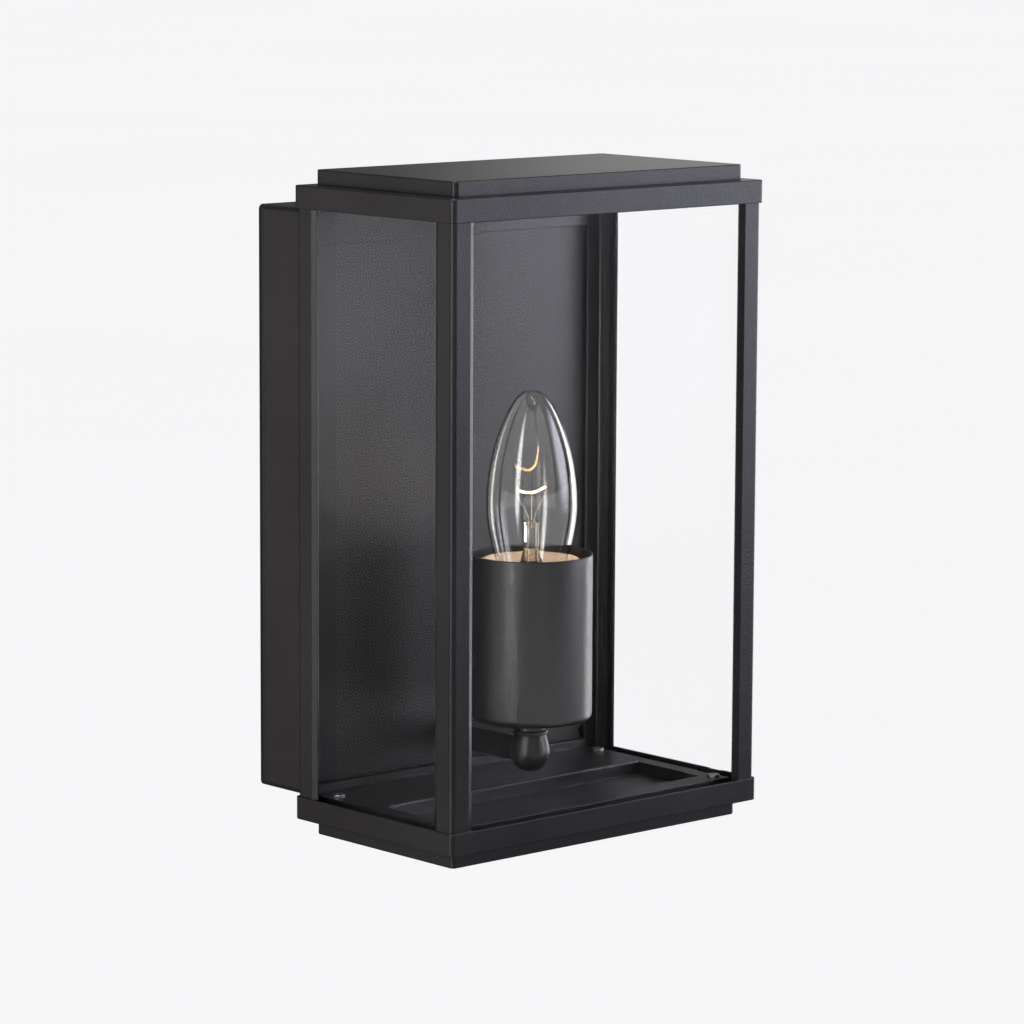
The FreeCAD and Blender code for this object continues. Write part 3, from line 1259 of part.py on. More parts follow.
os.makedirs("parts", exist_ok=True)
for name, make in NODES.items():
    shape = make()
    shape.exportStep("parts/" + name + ".step")
    box = shape.BoundBox
    print("%-18s solids %d valid %s volume %9.1f  x %.1f %.1f  y %.1f %.1f  z %.1f %.1f" % (
        name, len(shape.Solids), shape.isValid(), shape.Volume,
        box.XMin, box.XMax, box.YMin, box.YMax, box.ZMin, box.ZMax))
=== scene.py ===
import math

import bmesh
import bpy
from mathutils import Matrix, Vector


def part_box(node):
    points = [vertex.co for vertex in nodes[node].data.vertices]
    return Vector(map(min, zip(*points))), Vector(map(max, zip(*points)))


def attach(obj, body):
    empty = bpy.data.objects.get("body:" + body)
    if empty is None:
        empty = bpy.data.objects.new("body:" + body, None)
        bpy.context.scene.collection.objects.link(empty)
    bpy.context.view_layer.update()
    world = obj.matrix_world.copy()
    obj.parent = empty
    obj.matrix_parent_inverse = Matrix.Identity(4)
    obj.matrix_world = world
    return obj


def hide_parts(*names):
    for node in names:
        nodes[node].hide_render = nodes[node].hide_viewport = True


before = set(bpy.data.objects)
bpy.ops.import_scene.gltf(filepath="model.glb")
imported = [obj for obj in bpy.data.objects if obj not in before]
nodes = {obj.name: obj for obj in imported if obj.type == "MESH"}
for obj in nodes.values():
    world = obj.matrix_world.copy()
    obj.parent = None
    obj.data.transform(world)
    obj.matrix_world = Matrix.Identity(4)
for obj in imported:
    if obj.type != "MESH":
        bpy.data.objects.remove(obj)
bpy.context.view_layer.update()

# ------------------------------------------------------------------ wall box, back plate and hangers
# The wall box is a tray folded from 1.2 mm mild steel and closed by a screwed-on plate.
# Everything on it that shows is dipped, powder coated near black and stoved, which leaves
# a satin skin with a fine sandy grain and a slow swell from the way the powder flows out.
COAT = "121113"
COAT_THIN = "201f21"         # where the powder lies thinner
COAT_GLOSS = {"To Min": 0.28, "To Max": 0.40}
COAT_GRAIN_MM = 0.6          # the real sand is 0.3 mm; drawn coarser so that it shows
COAT_GRAIN = {"Strength": 0.7, "Distance": 0.00012}
COAT_SWELL_MM = 9.0
COAT_SWELL = {"Strength": 0.2, "Distance": 0.0003}
COAT_BUILD = 0.0006          # radius that the powder builds on a folded or cut edge
CLOUD_MM = 60.0              # slow change of shade from the spray pattern


def linear(code, alpha=1.0):
    """Colour socket value from an sRGB hex code."""
    parts = [int(code[k:k + 2], 16) / 255 for k in (0, 2, 4)]
    return [c / 12.92 if c <= 0.04045 else ((c + 0.055) / 1.055) ** 2.4 for c in parts] + [alpha]


def per_mm(size_mm):
    """Texture scale for a feature of that size, with object coordinates in metres."""
    return 1000.0 / size_mm


def add(tree, kind, settings=None, values=None, links=None, stops=None):
    """Adds one node with its properties, input values, links in, and (position, hex) ramp stops."""
    node = tree.nodes.new(kind)
    for number, (position, code) in enumerate(stops or []):
        if number >= len(node.color_ramp.elements):
            node.color_ramp.elements.new(1.0)
        node.color_ramp.elements[number].position = position
        node.color_ramp.elements[number].color = linear(code)
    for key, value in (settings or {}).items():
        setattr(node, key, value)
    for key, value in (values or {}).items():
        node.inputs[key].default_value = value
    for key, output in (links or {}).items():
        tree.links.new(output, node.inputs[key])
    return node


def new_finish(name):
    """New node material: the material, its emptied tree, its output and object coordinates."""
    material = bpy.data.materials.new(name)
    material.use_nodes = True
    tree = material.node_tree
    tree.nodes.clear()
    output = add(tree, "ShaderNodeOutputMaterial")
    place = add(tree, "ShaderNodeTexCoord").outputs["Object"]
    return material, tree, output, place


def powder_coat():
    """Polyester powder coat on steel: near black, satin, fine sand grain over a slow swell."""
    material, tree, output, place = new_finish("powder_coated_steel")
    cloud = add(tree, "ShaderNodeTexNoise", values={"Scale": per_mm(CLOUD_MM), "Detail": 3.0},
                links={"Vector": place}).outputs["Fac"]
    grain = add(tree, "ShaderNodeTexNoise", values={"Scale": per_mm(COAT_GRAIN_MM), "Detail": 2.0},
                links={"Vector": place}).outputs["Fac"]
    swell = add(tree, "ShaderNodeTexNoise", values={"Scale": per_mm(COAT_SWELL_MM), "Detail": 1.0},
                links={"Vector": place}).outputs["Fac"]
    edges = add(tree, "ShaderNodeBevel", settings={"samples": 4},
                values={"Radius": COAT_BUILD}).outputs["Normal"]
    flow = add(tree, "ShaderNodeBump", values=COAT_SWELL,
               links={"Height": swell, "Normal": edges}).outputs["Normal"]
    relief = add(tree, "ShaderNodeBump", values=COAT_GRAIN,
                 links={"Height": grain, "Normal": flow}).outputs["Normal"]
    colour = add(tree, "ShaderNodeValToRGB", stops=[(0.3, COAT), (0.75, COAT_THIN)],
                 links={"Fac": cloud}).outputs["Color"]
    rough = add(tree, "ShaderNodeMapRange", values=COAT_GLOSS,
                links={"Value": grain}).outputs["Result"]
    shader = add(tree, "ShaderNodeBsdfPrincipled", values={"Specular IOR Level": 0.5},
                 links={"Base Color": colour, "Roughness": rough, "Normal": relief})
    tree.links.new(shader.outputs["BSDF"], output.inputs["Surface"])
    return material


def dress(material, *names):
    """Puts one material on CAD nodes that keep their shape."""
    for name in names:
        for place in nodes[name].material_slots:
            place.material = material


coat = powder_coat()
dress(coat, "wall_box", "box_back", "back_plate", "upper_hanger", "lower_hanger")

# ------------------------------------------------------------------ screws and rivets of the wall box
# Small steel fasteners, blackened in a zinc bath: dark, slightly oily metal with a
# faint brushing from the tumbler they were finished in.
BLACKENED = "2b2a2c"
BLACKENED_DARK = "161517"
BLACKENED_ROUGHNESS = 0.38
TUMBLE_MM = 1.2
TUMBLE_SMOOTHER = 0.08       # how far the marks take the roughness down and up
TUMBLE_ROUGHER = 0.1
TUMBLE_MARKS = {"Strength": 0.15, "Distance": 0.00005}


def plated(name, light, dark, roughness):
    """Electroplated steel or brass: tumbled, so faint crossing scratches vary its gloss."""
    material, tree, output, place = new_finish(name)
    marks = add(tree, "ShaderNodeTexNoise",
                values={"Scale": per_mm(TUMBLE_MM), "Detail": 5.0, "Distortion": 1.5},
                links={"Vector": place}).outputs["Fac"]
    colour = add(tree, "ShaderNodeValToRGB", stops=[(0.25, dark), (0.7, light)],
                 links={"Fac": marks}).outputs["Color"]
    rough = add(tree, "ShaderNodeMapRange",
                values={"To Min": roughness - TUMBLE_SMOOTHER, "To Max": roughness + TUMBLE_ROUGHER},
                links={"Value": marks}).outputs["Result"]
    relief = add(tree, "ShaderNodeBump", values=TUMBLE_MARKS,
                 links={"Height": marks}).outputs["Normal"]
    shader = add(tree, "ShaderNodeBsdfPrincipled", values={"Metallic": 1.0},
                 links={"Base Color": colour, "Roughness": rough, "Normal": relief})
    tree.links.new(shader.outputs["BSDF"], output.inputs["Surface"])
    return material


blackened = plated("blackened_steel", BLACKENED, BLACKENED_DARK, BLACKENED_ROUGHNESS)
dress(blackened, "back_plate_screws", "hanger_rivets")

# ------------------------------------------------------------------ gasket and grommet
# A die-cut sheet of closed-cell foam seals the box to the wall, and a moulded
# rubber grommet lines the cable entry. Both are matt and almost black.
FOAM = "1c1c1c"
# painted shade: the open cells are coloured darker than the foam, standing in for the shade inside them
FOAM_PORE_SHADE = "0d0d0d"
PORE_MM = 1.6
PORE_PITS = {"Strength": 0.6, "Distance": 0.0003}
RUBBER = "161616"
RUBBER_BLOOM = "232322"      # the pale bloom that old rubber gets
RUBBER_ROUGHNESS = 0.72
RUBBER_GRAIN_MM = 0.6
BLOOM_MM = 7.0
BLOOM_SMOOTHER = 0.06        # how far the bloom takes the roughness down and up
BLOOM_ROUGHER = 0.08
MOULD_GRAIN = {"Strength": 0.2, "Distance": 0.0001}


def foam():
    """Closed-cell foam sheet: matt, with the small round cells left open by the die, and painted shade
    darkening each cell.
    """
    material, tree, output, place = new_finish("closed_cell_foam")
    cells = add(tree, "ShaderNodeTexVoronoi", values={"Scale": per_mm(PORE_MM)},
                links={"Vector": place}).outputs["Distance"]
    # darker towards the middle of each open cell: painted shade in the pits
    colour = add(tree, "ShaderNodeValToRGB", stops=[(0.05, FOAM_PORE_SHADE), (0.45, FOAM)],
                 links={"Fac": cells}).outputs["Color"]
    relief = add(tree, "ShaderNodeBump", values=PORE_PITS,
                 links={"Height": cells}).outputs["Normal"]
    shader = add(tree, "ShaderNodeBsdfPrincipled", values={"Roughness": 0.92, "Specular IOR Level": 0.2},
                 links={"Base Color": colour, "Normal": relief})
    tree.links.new(shader.outputs["BSDF"], output.inputs["Surface"])
    return material


def moulded(name, body_shade, bloom_shade, roughness, grain_mm):
    """Moulded rubber or plastic: even colour, a faint cloud and the mould's fine grain."""
    material, tree, output, place = new_finish(name)
    bloom = add(tree, "ShaderNodeTexNoise", values={"Scale": per_mm(BLOOM_MM), "Detail": 3.0},
                links={"Vector": place}).outputs["Fac"]
    grain = add(tree, "ShaderNodeTexNoise", values={"Scale": per_mm(grain_mm), "Detail": 2.0},
                links={"Vector": place}).outputs["Fac"]
    colour = add(tree, "ShaderNodeValToRGB", stops=[(0.35, body_shade), (0.8, bloom_shade)],
                 links={"Fac": bloom}).outputs["Color"]
    rough = add(tree, "ShaderNodeMapRange",
                values={"To Min": roughness - BLOOM_SMOOTHER, "To Max": roughness + BLOOM_ROUGHER},
                links={"Value": bloom}).outputs["Result"]
    relief = add(tree, "ShaderNodeBump", values=MOULD_GRAIN,
                 links={"Height": grain}).outputs["Normal"]
    shader = add(tree, "ShaderNodeBsdfPrincipled", values={"Specular IOR Level": 0.4},
                 links={"Base Color": colour, "Roughness": rough, "Normal": relief})
    tree.links.new(shader.outputs["BSDF"], output.inputs["Surface"])
    return material


rubber = moulded("moulded_rubber", RUBBER, RUBBER_BLOOM, RUBBER_ROUGHNESS, RUBBER_GRAIN_MM)
dress(foam(), "wall_gasket")
dress(rubber, "cable_grommet")

# ------------------------------------------------------------------ arm, bush and nuts
# A 10 mm square steel tube carries the lamp. A bright zinc plated bush and nut clamp
# it to the back plate, and a hollow threaded nipple with thin nuts stands on its other end.
ZINC = "b9bab8"
ZINC_DARK = "8d8f8f"
ZINC_ROUGHNESS = 0.3

zinc = plated("zinc_plated_steel", ZINC, ZINC_DARK, ZINC_ROUGHNESS)
dress(coat, "arm_tube")
dress(zinc, "arm_bush", "arm_nut", "hub_nipple", "nipple_nuts", "holder_bracket", "holder_screws")

# ------------------------------------------------------------------ hub under the cup
# A pear-shaped steel boss turned from bar, with a bead round its neck, powder coated
# with the arm. The arm's end sits in a slot milled in its side.
dress(coat, "lamp_hub")

# ------------------------------------------------------------------ cup
# Spun from 1.2 mm steel and powder coated: a plain straight cup with a rounded foot
# and its cut rim rounded over, held by a nut on the nipple.
CUP_SHEET = 0.0012
CUP_FOOT_R = 0.003
CUP_LIP_R = CUP_SHEET * 0.42 # nearly half the sheet, so the rim is round
NIPPLE_HOLE_R = 0.00505
AROUND = 128                 # facets of every turned piece
ON_AXIS = 1e-7               # a smaller radius than this is a point on the axis
FILLET_STEPS = 6


def around_axis(shape, centre, radius, height):
    """Ring of vertices round a vertical axis."""
    angles = [2 * math.pi * k / AROUND for k in range(AROUND)]
    return [shape.verts.new((centre.x + radius * math.cos(angle),
                             centre.y + radius * math.sin(angle), height)) for angle in angles]


def turned(name, profile, centre, closed=False, sharp_deg=40.0):
    """Mesh turned from (radius, height) points round a vertical axis."""
    shape = bmesh.new()
    rings = []
    for radius, height in profile:
        if radius < ON_AXIS:
            rings.append([shape.verts.new((centre.x, centre.y, height))])
        else:
            rings.append(around_axis(shape, centre, radius, height))
    pairs = list(zip(rings, rings[1:]))
    if closed:
        pairs.append((rings[-1], rings[0]))
    for low, high in pairs:
        for k in range(AROUND):
            after = (k + 1) % AROUND
            corners = [low[k % len(low)], low[after % len(low)],
                       high[after % len(high)], high[k % len(high)]]
            face = list(dict.fromkeys(corners))
            if len(face) > 2:
                shape.faces.new(face)
    bmesh.ops.recalc_face_normals(shape, faces=shape.faces)
    return smooth_mesh(name, shape, sharp_deg)


def smooth_mesh(name, shape, sharp_deg):
    """Object from a bmesh, shaded smooth up to an angle."""
    mesh = bpy.data.meshes.new(name)
    shape.to_mesh(mesh)
    shape.free()
    mesh.shade_smooth()
    mesh.set_sharp_from_angle(angle=math.radians(sharp_deg))
    piece = bpy.data.objects.new(name, mesh)
    bpy.context.scene.collection.objects.link(piece)
    return piece


def rounded(points):
    """Profile with its corners rounded, from (radius, height, fillet) points; the ends stay."""
    path = [Vector(points[0][:2])]
    for before, corner, after in zip(points, points[1:], points[2:]):
        here = Vector(corner[:2])
        if not corner[2]:
            path.append(here)
            continue
        arrive = (Vector(before[:2]) - here).normalized()
        leave = (Vector(after[:2]) - here).normalized()
        half = arrive.angle(leave) / 2
        setback = corner[2] / math.tan(half)
        centre = here + (arrive + leave).normalized() * (corner[2] / math.sin(half))
        start = here + arrive * setback - centre
        end = here + leave * setback - centre
        turn = start.angle_signed(end)
        for k in range(FILLET_STEPS + 1):
            path.append(centre + Matrix.Rotation(-turn * k / FILLET_STEPS, 2) @ start)
    path.append(Vector(points[-1][:2]))
    return [(max(p.x, 0.0), p.y) for p in path]


def stands_for(piece, body, material, cad_node):
    """Rides a new piece on its body in place of a CAD node, with its material."""
    piece.data.materials.append(material)
    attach(piece, body)
    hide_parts(cad_node)


def middle(node):
    """Axis point, radius, lowest and highest level of a round CAD node."""
    low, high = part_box(node)
    centre = Vector(((low.x + high.x) / 2, (low.y + high.y) / 2))
    return centre, (high.x - low.x) / 2, low.z, high.z


cup_centre, cup_radius, cup_low, cup_high = middle("lamp_cup")
inner = cup_radius - CUP_SHEET
cup_profile = rounded([
    (NIPPLE_HOLE_R, cup_low, 0),
    (cup_radius, cup_low, CUP_FOOT_R),
    (cup_radius, cup_high, CUP_LIP_R),
    (inner, cup_high, CUP_LIP_R),
    (inner, cup_low + CUP_SHEET, CUP_FOOT_R - CUP_SHEET),
    (NIPPLE_HOLE_R, cup_low + CUP_SHEET, 0)])
cup = turned("cup", cup_profile, cup_centre, closed=True)
stands_for(cup, "wall_unit", coat, "lamp_cup")

# ------------------------------------------------------------------ lampholder
# Slip-cast porcelain with a clear glaze, warm white, with a rounded rim. A pressed brass
# shell and a sprung brass contact sit inside it, and two terminals underneath.
PORCELAIN = "cbb8a8"
PORCELAIN_WARM = "bda893"
GLAZE_MM = 14.0
GLAZE_RIPPLE = {"Strength": 0.12, "Distance": 0.0004}
GLAZE_GLOSS = {"To Min": 0.3, "To Max": 0.42}
SPECK_MM = 1.1
BRASS = "c9a254"
BRASS_DARK = "94702f"
BRASS_ROUGHNESS = 0.28
MOUTH_R = 0.0168
MOUTH_DEEP = 0.007
SHELL_BORE = 0.01395
UNDER_R = 0.0105
UNDER_DEEP = 0.0075
WEB = 0.003
CONTACT_BORE = 0.009
CONTACT_DEEP = 0.004
FOOT_FILLET = 0.0006
RIM_FILLET = 0.0012
LIP_FILLET = 0.0009
SEAT_FILLET = 0.0004
BORE_FILLET = 0.0003


def porcelain():
    """Glazed porcelain: warm white body under a clear glossy glaze with a faint ripple."""
    material, tree, output, place = new_finish("glazed_porcelain")
    tone = add(tree, "ShaderNodeTexNoise", values={"Scale": per_mm(GLAZE_MM), "Detail": 3.0},
               links={"Vector": place}).outputs["Fac"]
    specks = add(tree, "ShaderNodeTexNoise", values={"Scale": per_mm(SPECK_MM), "Detail": 4.0},
                 links={"Vector": place}).outputs["Fac"]
    colour = add(tree, "ShaderNodeValToRGB", stops=[(0.3, PORCELAIN), (0.75, PORCELAIN_WARM)],
                 links={"Fac": tone}).outputs["Color"]
    relief = add(tree, "ShaderNodeBump", values=GLAZE_RIPPLE,
                 links={"Height": tone}).outputs["Normal"]
    rough = add(tree, "ShaderNodeMapRange", values=GLAZE_GLOSS,
                links={"Value": specks}).outputs["Result"]
    shader = add(tree, "ShaderNodeBsdfPrincipled",
                 values={"Coat Weight": 0.4, "Coat Roughness": 0.08, "Subsurface Weight": 0.05},
                 links={"Base Color": colour, "Roughness": rough, "Normal": relief})
    tree.links.new(shader.outputs["BSDF"], output.inputs["Surface"])
    return material


holder_centre, holder_radius, holder_low, holder_high = middle("lampholder_body")
web_low = holder_low + UNDER_DEEP
web_high = web_low + WEB
shell_low = web_high + CONTACT_DEEP
mouth_low = holder_high - MOUTH_DEEP
holder_profile = rounded([
    (UNDER_R, holder_low, 0),
    (holder_radius, holder_low, FOOT_FILLET),
    (holder_radius, holder_high, RIM_FILLET),
    (MOUTH_R, holder_high, LIP_FILLET),
    (MOUTH_R, mouth_low, SEAT_FILLET),
    (SHELL_BORE, mouth_low, BORE_FILLET),
    (SHELL_BORE, shell_low, 0),
    (CONTACT_BORE, shell_low, BORE_FILLET),
    (CONTACT_BORE, web_high, 0),
    (0.0, web_high, 0)])
under_profile = [(0.0, web_low), (UNDER_R, web_low)]
holder = turned("porcelain_holder", holder_profile + under_profile, holder_centre, closed=True)
stands_for(holder, "wall_unit", porcelain(), "lampholder_body")

brass = plated("bright_brass", BRASS, BRASS_DARK, BRASS_ROUGHNESS)
dress(brass, "lampholder_shell", "centre_contact", "holder_terminals")

# ------------------------------------------------------------------ wiring
# Two heat-resistant wires run from the terminal block through arm and hub to the holder,
# and a short earth wire goes to a stud in the box. The block is moulded nylon.
WIRES = {"live_wire": ("silicone_wire_brown", "4a2a18", "5a3521"),
         "neutral_wire": ("silicone_wire_blue", "27477e", "315793"),
         "earth_wire": ("silicone_wire_green", "4b7a2c", "8f9a2c")}
SLEEVE_ROUGHNESS = 0.45
SLEEVE_GRAIN_MM = 0.8
NYLON = "d8d4c4"
NYLON_SHADE = "c7c2b0"
NYLON_ROUGHNESS = 0.42
NYLON_GRAIN_MM = 0.7

for wire, (sleeve, shade, pale_shade) in WIRES.items():
    dress(moulded(sleeve, shade, pale_shade, SLEEVE_ROUGHNESS, SLEEVE_GRAIN_MM), wire)
nylon = moulded("natural_nylon", NYLON, NYLON_SHADE, NYLON_ROUGHNESS, NYLON_GRAIN_MM)
dress(nylon, "terminal_block", "lock_washer")
dress(zinc, "terminal_screws", "earth_stud")
dress(brass, "earth_nuts", "earth_lug")

# ------------------------------------------------------------------ roof
# Two shallow trays folded from 0.8 mm steel, one inside the outline of the other, powder
# coated before the nuts inside draw the upper one down on the rim. A zinc plated saddle
# under the roof rides on the upper hanger.
dress(coat, "roof_cap", "roof_frame", "rear_top_rail")
dress(zinc, "roof_studs", "roof_nuts", "upper_guide")

# ------------------------------------------------------------------ posts
# Roll-formed angles in 1 mm steel with a narrow lip turned in towards each pane.
# The coat draws thin on the lip's sharp cut edge, so the edge catches a bright line.
dress(coat, "post_front_left", "post_front_right", "post_rear_left", "post_rear_right")

# ------------------------------------------------------------------ panes, strips and blocks
# 4 mm float glass with a wide bevel ground and polished round its outer face, so clear
# that it shows by its edges. Black silicone strips bed it behind the posts, on rubber blocks.
GLASS_TINT = "fefefe"
GLASS_IOR = 1.08             # under glass's own 1.52, which would veil the inside in haze
GLASS_WAVE_MM = 60.0
GLASS_WAVE = 0.01
WAVE_RISE = 0.0005
SILICONE = "141414"
SILICONE_SHEEN = "1e1e1e"
SILICONE_ROUGHNESS = 0.5
SILICONE_GRAIN_MM = 1.0


def clear_glass(name, tint, ior, wave_mm, wave_strength):
    """Clear glass with a barely visible ripple from how it was drawn or blown."""
    material, tree, output, place = new_finish(name)
    wave = add(tree, "ShaderNodeTexNoise", values={"Scale": per_mm(wave_mm), "Detail": 1.0},
               links={"Vector": place}).outputs["Fac"]
    relief = add(tree, "ShaderNodeBump", values={"Strength": wave_strength, "Distance": WAVE_RISE},
                 links={"Height": wave}).outputs["Normal"]
    colour = add(tree, "ShaderNodeValToRGB", stops=[(0.3, tint), (0.8, "ffffff")],
                 links={"Fac": wave}).outputs["Color"]
    shader = add(tree, "ShaderNodeBsdfPrincipled",
                 values={"Transmission Weight": 1.0, "Roughness": 0.0, "IOR": ior},
                 links={"Base Color": colour, "Normal": relief})
    tree.links.new(shader.outputs["BSDF"], output.inputs["Surface"])
    return material


float_glass = clear_glass("float_glass", GLASS_TINT, GLASS_IOR, GLASS_WAVE_MM, GLASS_WAVE)
for name in ("pane_front", "pane_left", "pane_right"):
    dress(float_glass, name)
    nodes[name].visible_shadow = False
silicone = moulded("black_silicone", SILICONE, SILICONE_SHEEN, SILICONE_ROUGHNESS, SILICONE_GRAIN_MM)
dress(silicone, "pane_seals")
dress(rubber, "setting_blocks")

# ------------------------------------------------------------------ base
# A folded rim, a smaller tray under it, and an inner deck pressed with a shallow well
# and a low lip at the back. Round standoffs and four dull zinc screws tie them together.
DULL_ZINC = "96989a"
DULL_ZINC_DARK = "5e6062"
DULL_ZINC_ROUGHNESS = 0.4

dress(coat, "bottom_frame", "base_tray", "deck")
dress(zinc, "standoffs", "lock_bush")
dress(plated("dull_zinc", DULL_ZINC, DULL_ZINC_DARK, DULL_ZINC_ROUGHNESS), "deck_screws")

# ------------------------------------------------------------------ lock screw
# A knurled, blackened thumb screw in a plated bush, over a nylon washer.
dress(blackened, "lock_screw")

# ------------------------------------------------------------------ lamp envelope
# Blown from clear soft glass, 0.7 mm thick: a candle shape, full at the shoulder and
# drawn up to a rounded point, with its open neck cemented in the cap.
LAMP_R = 0.0179
NECK_R = 0.0112
NECK_TO_WIDEST = 0.030
NECK_CURVE = 1.7
WIDEST_TO_TIP = 0.046
TIP_FULLNESS = 0.62          # exponent of the shape above its widest level
TIP_BLUNTNESS = 0.14         # how much of it is taken off at the very tip
TIP_ONSET = 6
LAMP_WALL = 0.0007
LAMP_TINT = "fbfaf6"
LAMP_IOR = 1.5
LAMP_WAVE_MM = 9.0
LAMP_WAVE = 0.02
SIDE_STEPS = 40

lamp_centre, _, neck_low, tip = middle("bulb_glass")
widest = tip - WIDEST_TO_TIP


def envelope_radius(level, wall):
    """Radius of the candle shape at a level, less a wall."""
    if level >= widest:
        share = min((level - widest) / (WIDEST_TO_TIP - wall), 1.0)
        return (LAMP_R - wall) * (1 - share ** 2) ** (TIP_FULLNESS - TIP_BLUNTNESS * share ** TIP_ONSET)
    share = (widest - level) / NECK_TO_WIDEST
    return LAMP_R - wall - (LAMP_R - NECK_R) * share ** NECK_CURVE


def envelope_side(wall):
    """Points from the neck to the tip, closer together near the tip."""
    side = []
    for k in range(SIDE_STEPS):
        level = neck_low + NECK_TO_WIDEST * k / SIDE_STEPS
        side.append((envelope_radius(level, wall), level))
    for k in range(SIDE_STEPS + 1):
        level = widest + (WIDEST_TO_TIP - wall) * math.sin(math.pi / 2 * k / SIDE_STEPS)
        side.append((envelope_radius(level, wall) if k < SIDE_STEPS else 0.0, level))
    return side


blown_glass = clear_glass("blown_glass", LAMP_TINT, LAMP_IOR, LAMP_WAVE_MM, LAMP_WAVE)
envelope_profile = envelope_side(0.0) + envelope_side(LAMP_WALL)[::-1]
envelope = turned("lamp_envelope", envelope_profile, lamp_centre, closed=True, sharp_deg=70.0)
stands_for(envelope, "bulb", blown_glass, "bulb_glass")
envelope.visible_shadow = False

# ------------------------------------------------------------------ lamp cap
# Rolled from thin brass and nickel plated. The thread is a real helix at 3.62 mm pitch,
# so it climbs in its shell as the lamp turns; black vitrite and a soldered contact close it.
CAP_R = 0.0131
CAP_PITCH = 0.00362
CAP_THREAD = 0.001
CAP_CREST = 0.8              # under 1 the crest is fuller than the groove
CAP_SHEET = 0.00035
CAP_LEAD_IN = 0.0012         # plain stretch under the thread
CAP_RUN_OUT = 0.0015         # height over which the thread fades in and out
CAP_COLLAR = 0.004           # plain stretch over the thread
COLLAR_SWELL = 0.0005
COLLAR_EASE = 0.0008
CAP_ROWS = 110
NICKEL = "c8c4ba"
NICKEL_DARK = "98948a"
NICKEL_ROUGHNESS = 0.25
VITRITE = "0b0a0c"
VITRITE_PALE = "151417"
VITRITE_ROUGHNESS = 0.15
VITRITE_GRAIN_MM = 2.0
SOLDER = "a9a8a2"
SOLDER_DARK = "7c7b76"
SOLDER_ROUGHNESS = 0.4

cap_centre, _, cap_low, cap_high = middle("bulb_cap")
cap_root = CAP_R - CAP_THREAD


def cap_radius(level, angle):
    """Radius of the rolled cap: its helical thread, then the plain collar."""
    collar = cap_high - CAP_COLLAR
    if level > collar:
        return cap_root + COLLAR_SWELL * min(1.0, (level - collar) / COLLAR_EASE)
    fade_in = max(0.0, (level - cap_low - CAP_LEAD_IN) / CAP_RUN_OUT)
    fade_out = max(0.0, (collar - level) / CAP_RUN_OUT)
    wave = 0.5 - 0.5 * math.cos(2 * math.pi * (level - cap_low) / CAP_PITCH - angle)
    return cap_root + CAP_THREAD * wave ** CAP_CREST * min(1.0, fade_in, fade_out)


def cap_mesh():
    """Closed cap: a helical outside, a plain inside, and flat ends."""
    shape = bmesh.new()
    rings = []
    for row in range(CAP_ROWS + 1):
        level = cap_low + (cap_high - cap_low) * row / CAP_ROWS
        ring = []
        for k in range(AROUND):
            angle = 2 * math.pi * k / AROUND
            radius = cap_radius(level, angle)
            ring.append(shape.verts.new((cap_centre.x + radius * math.cos(angle),
                                         cap_centre.y + radius * math.sin(angle), level)))
        rings.append(ring)
    for level in (cap_high, cap_low):
        rings.append(around_axis(shape, cap_centre, cap_root - CAP_SHEET, level))
    for low, high in list(zip(rings, rings[1:])) + [(rings[-1], rings[0])]:
        for k in range(AROUND):
            after = (k + 1) % AROUND
            shape.faces.new((low[k], low[after], high[after], high[k]))
    bmesh.ops.recalc_face_normals(shape, faces=shape.faces)
    return smooth_mesh("lamp_cap", shape, 50.0)


nickel_plate = plated("nickel_plated_brass", NICKEL, NICKEL_DARK, NICKEL_ROUGHNESS)
vitrite = moulded("black_vitrite", VITRITE, VITRITE_PALE, VITRITE_ROUGHNESS, VITRITE_GRAIN_MM)
stands_for(cap_mesh(), "bulb", nickel_plate, "bulb_cap")
dress(vitrite, "bulb_insulator")
dress(plated("soft_solder", SOLDER, SOLDER_DARK, SOLDER_ROUGHNESS), "bulb_contact")

# ------------------------------------------------------------------ lamp stem
# A tube of clear glass, flared where it is fused to the neck and drawn in to a narrow
# waist, with a small bead at its top where it was pinched shut on the wires.
STEM_R = 0.0031
STEM_FLARE_LIP = 0.0004      # fillet of the flare's edge
STEM_FUNNEL = (0.0050, 0.0042, 0.004)      # radius, height over the stem's foot and fillet
STEM_SHANK = (0.0105, 0.006)               # height over the foot and fillet
STEM_WAIST = (STEM_R * 0.92, 0.0022, 0.002)       # radius, depth under the top and fillet
STEM_BEAD = (STEM_R + 0.0004, 0.0007, 0.0006)     # the same
STEM_TOP = (STEM_R * 0.7, 0.0, 0.0005)            # the same
STEM_TINT = "fff4e2"
STEM_IOR = 1.51
STEM_WAVE_MM = 3.0
STEM_WAVE = 0.15

stem_centre, stem_flare, stem_low, stem_high = middle("bulb_stem")
stem_profile = rounded([
    (0.0, stem_low, 0),
    (stem_flare, stem_low, STEM_FLARE_LIP),
    (STEM_FUNNEL[0], stem_low + STEM_FUNNEL[1], STEM_FUNNEL[2]),
    (STEM_R, stem_low + STEM_SHANK[0], STEM_SHANK[1]),
    *((radius, stem_high - depth, fillet) for radius, depth, fillet in (STEM_WAIST, STEM_BEAD, STEM_TOP)),
    (0.0, stem_high, 0)])
stem = turned("lamp_stem", stem_profile, stem_centre, sharp_deg=60.0)
stem_glass = clear_glass("stem_glass", STEM_TINT, STEM_IOR, STEM_WAVE_MM, STEM_WAVE)
stands_for(stem, "bulb", stem_glass, "bulb_stem")
stem.visible_shadow = False

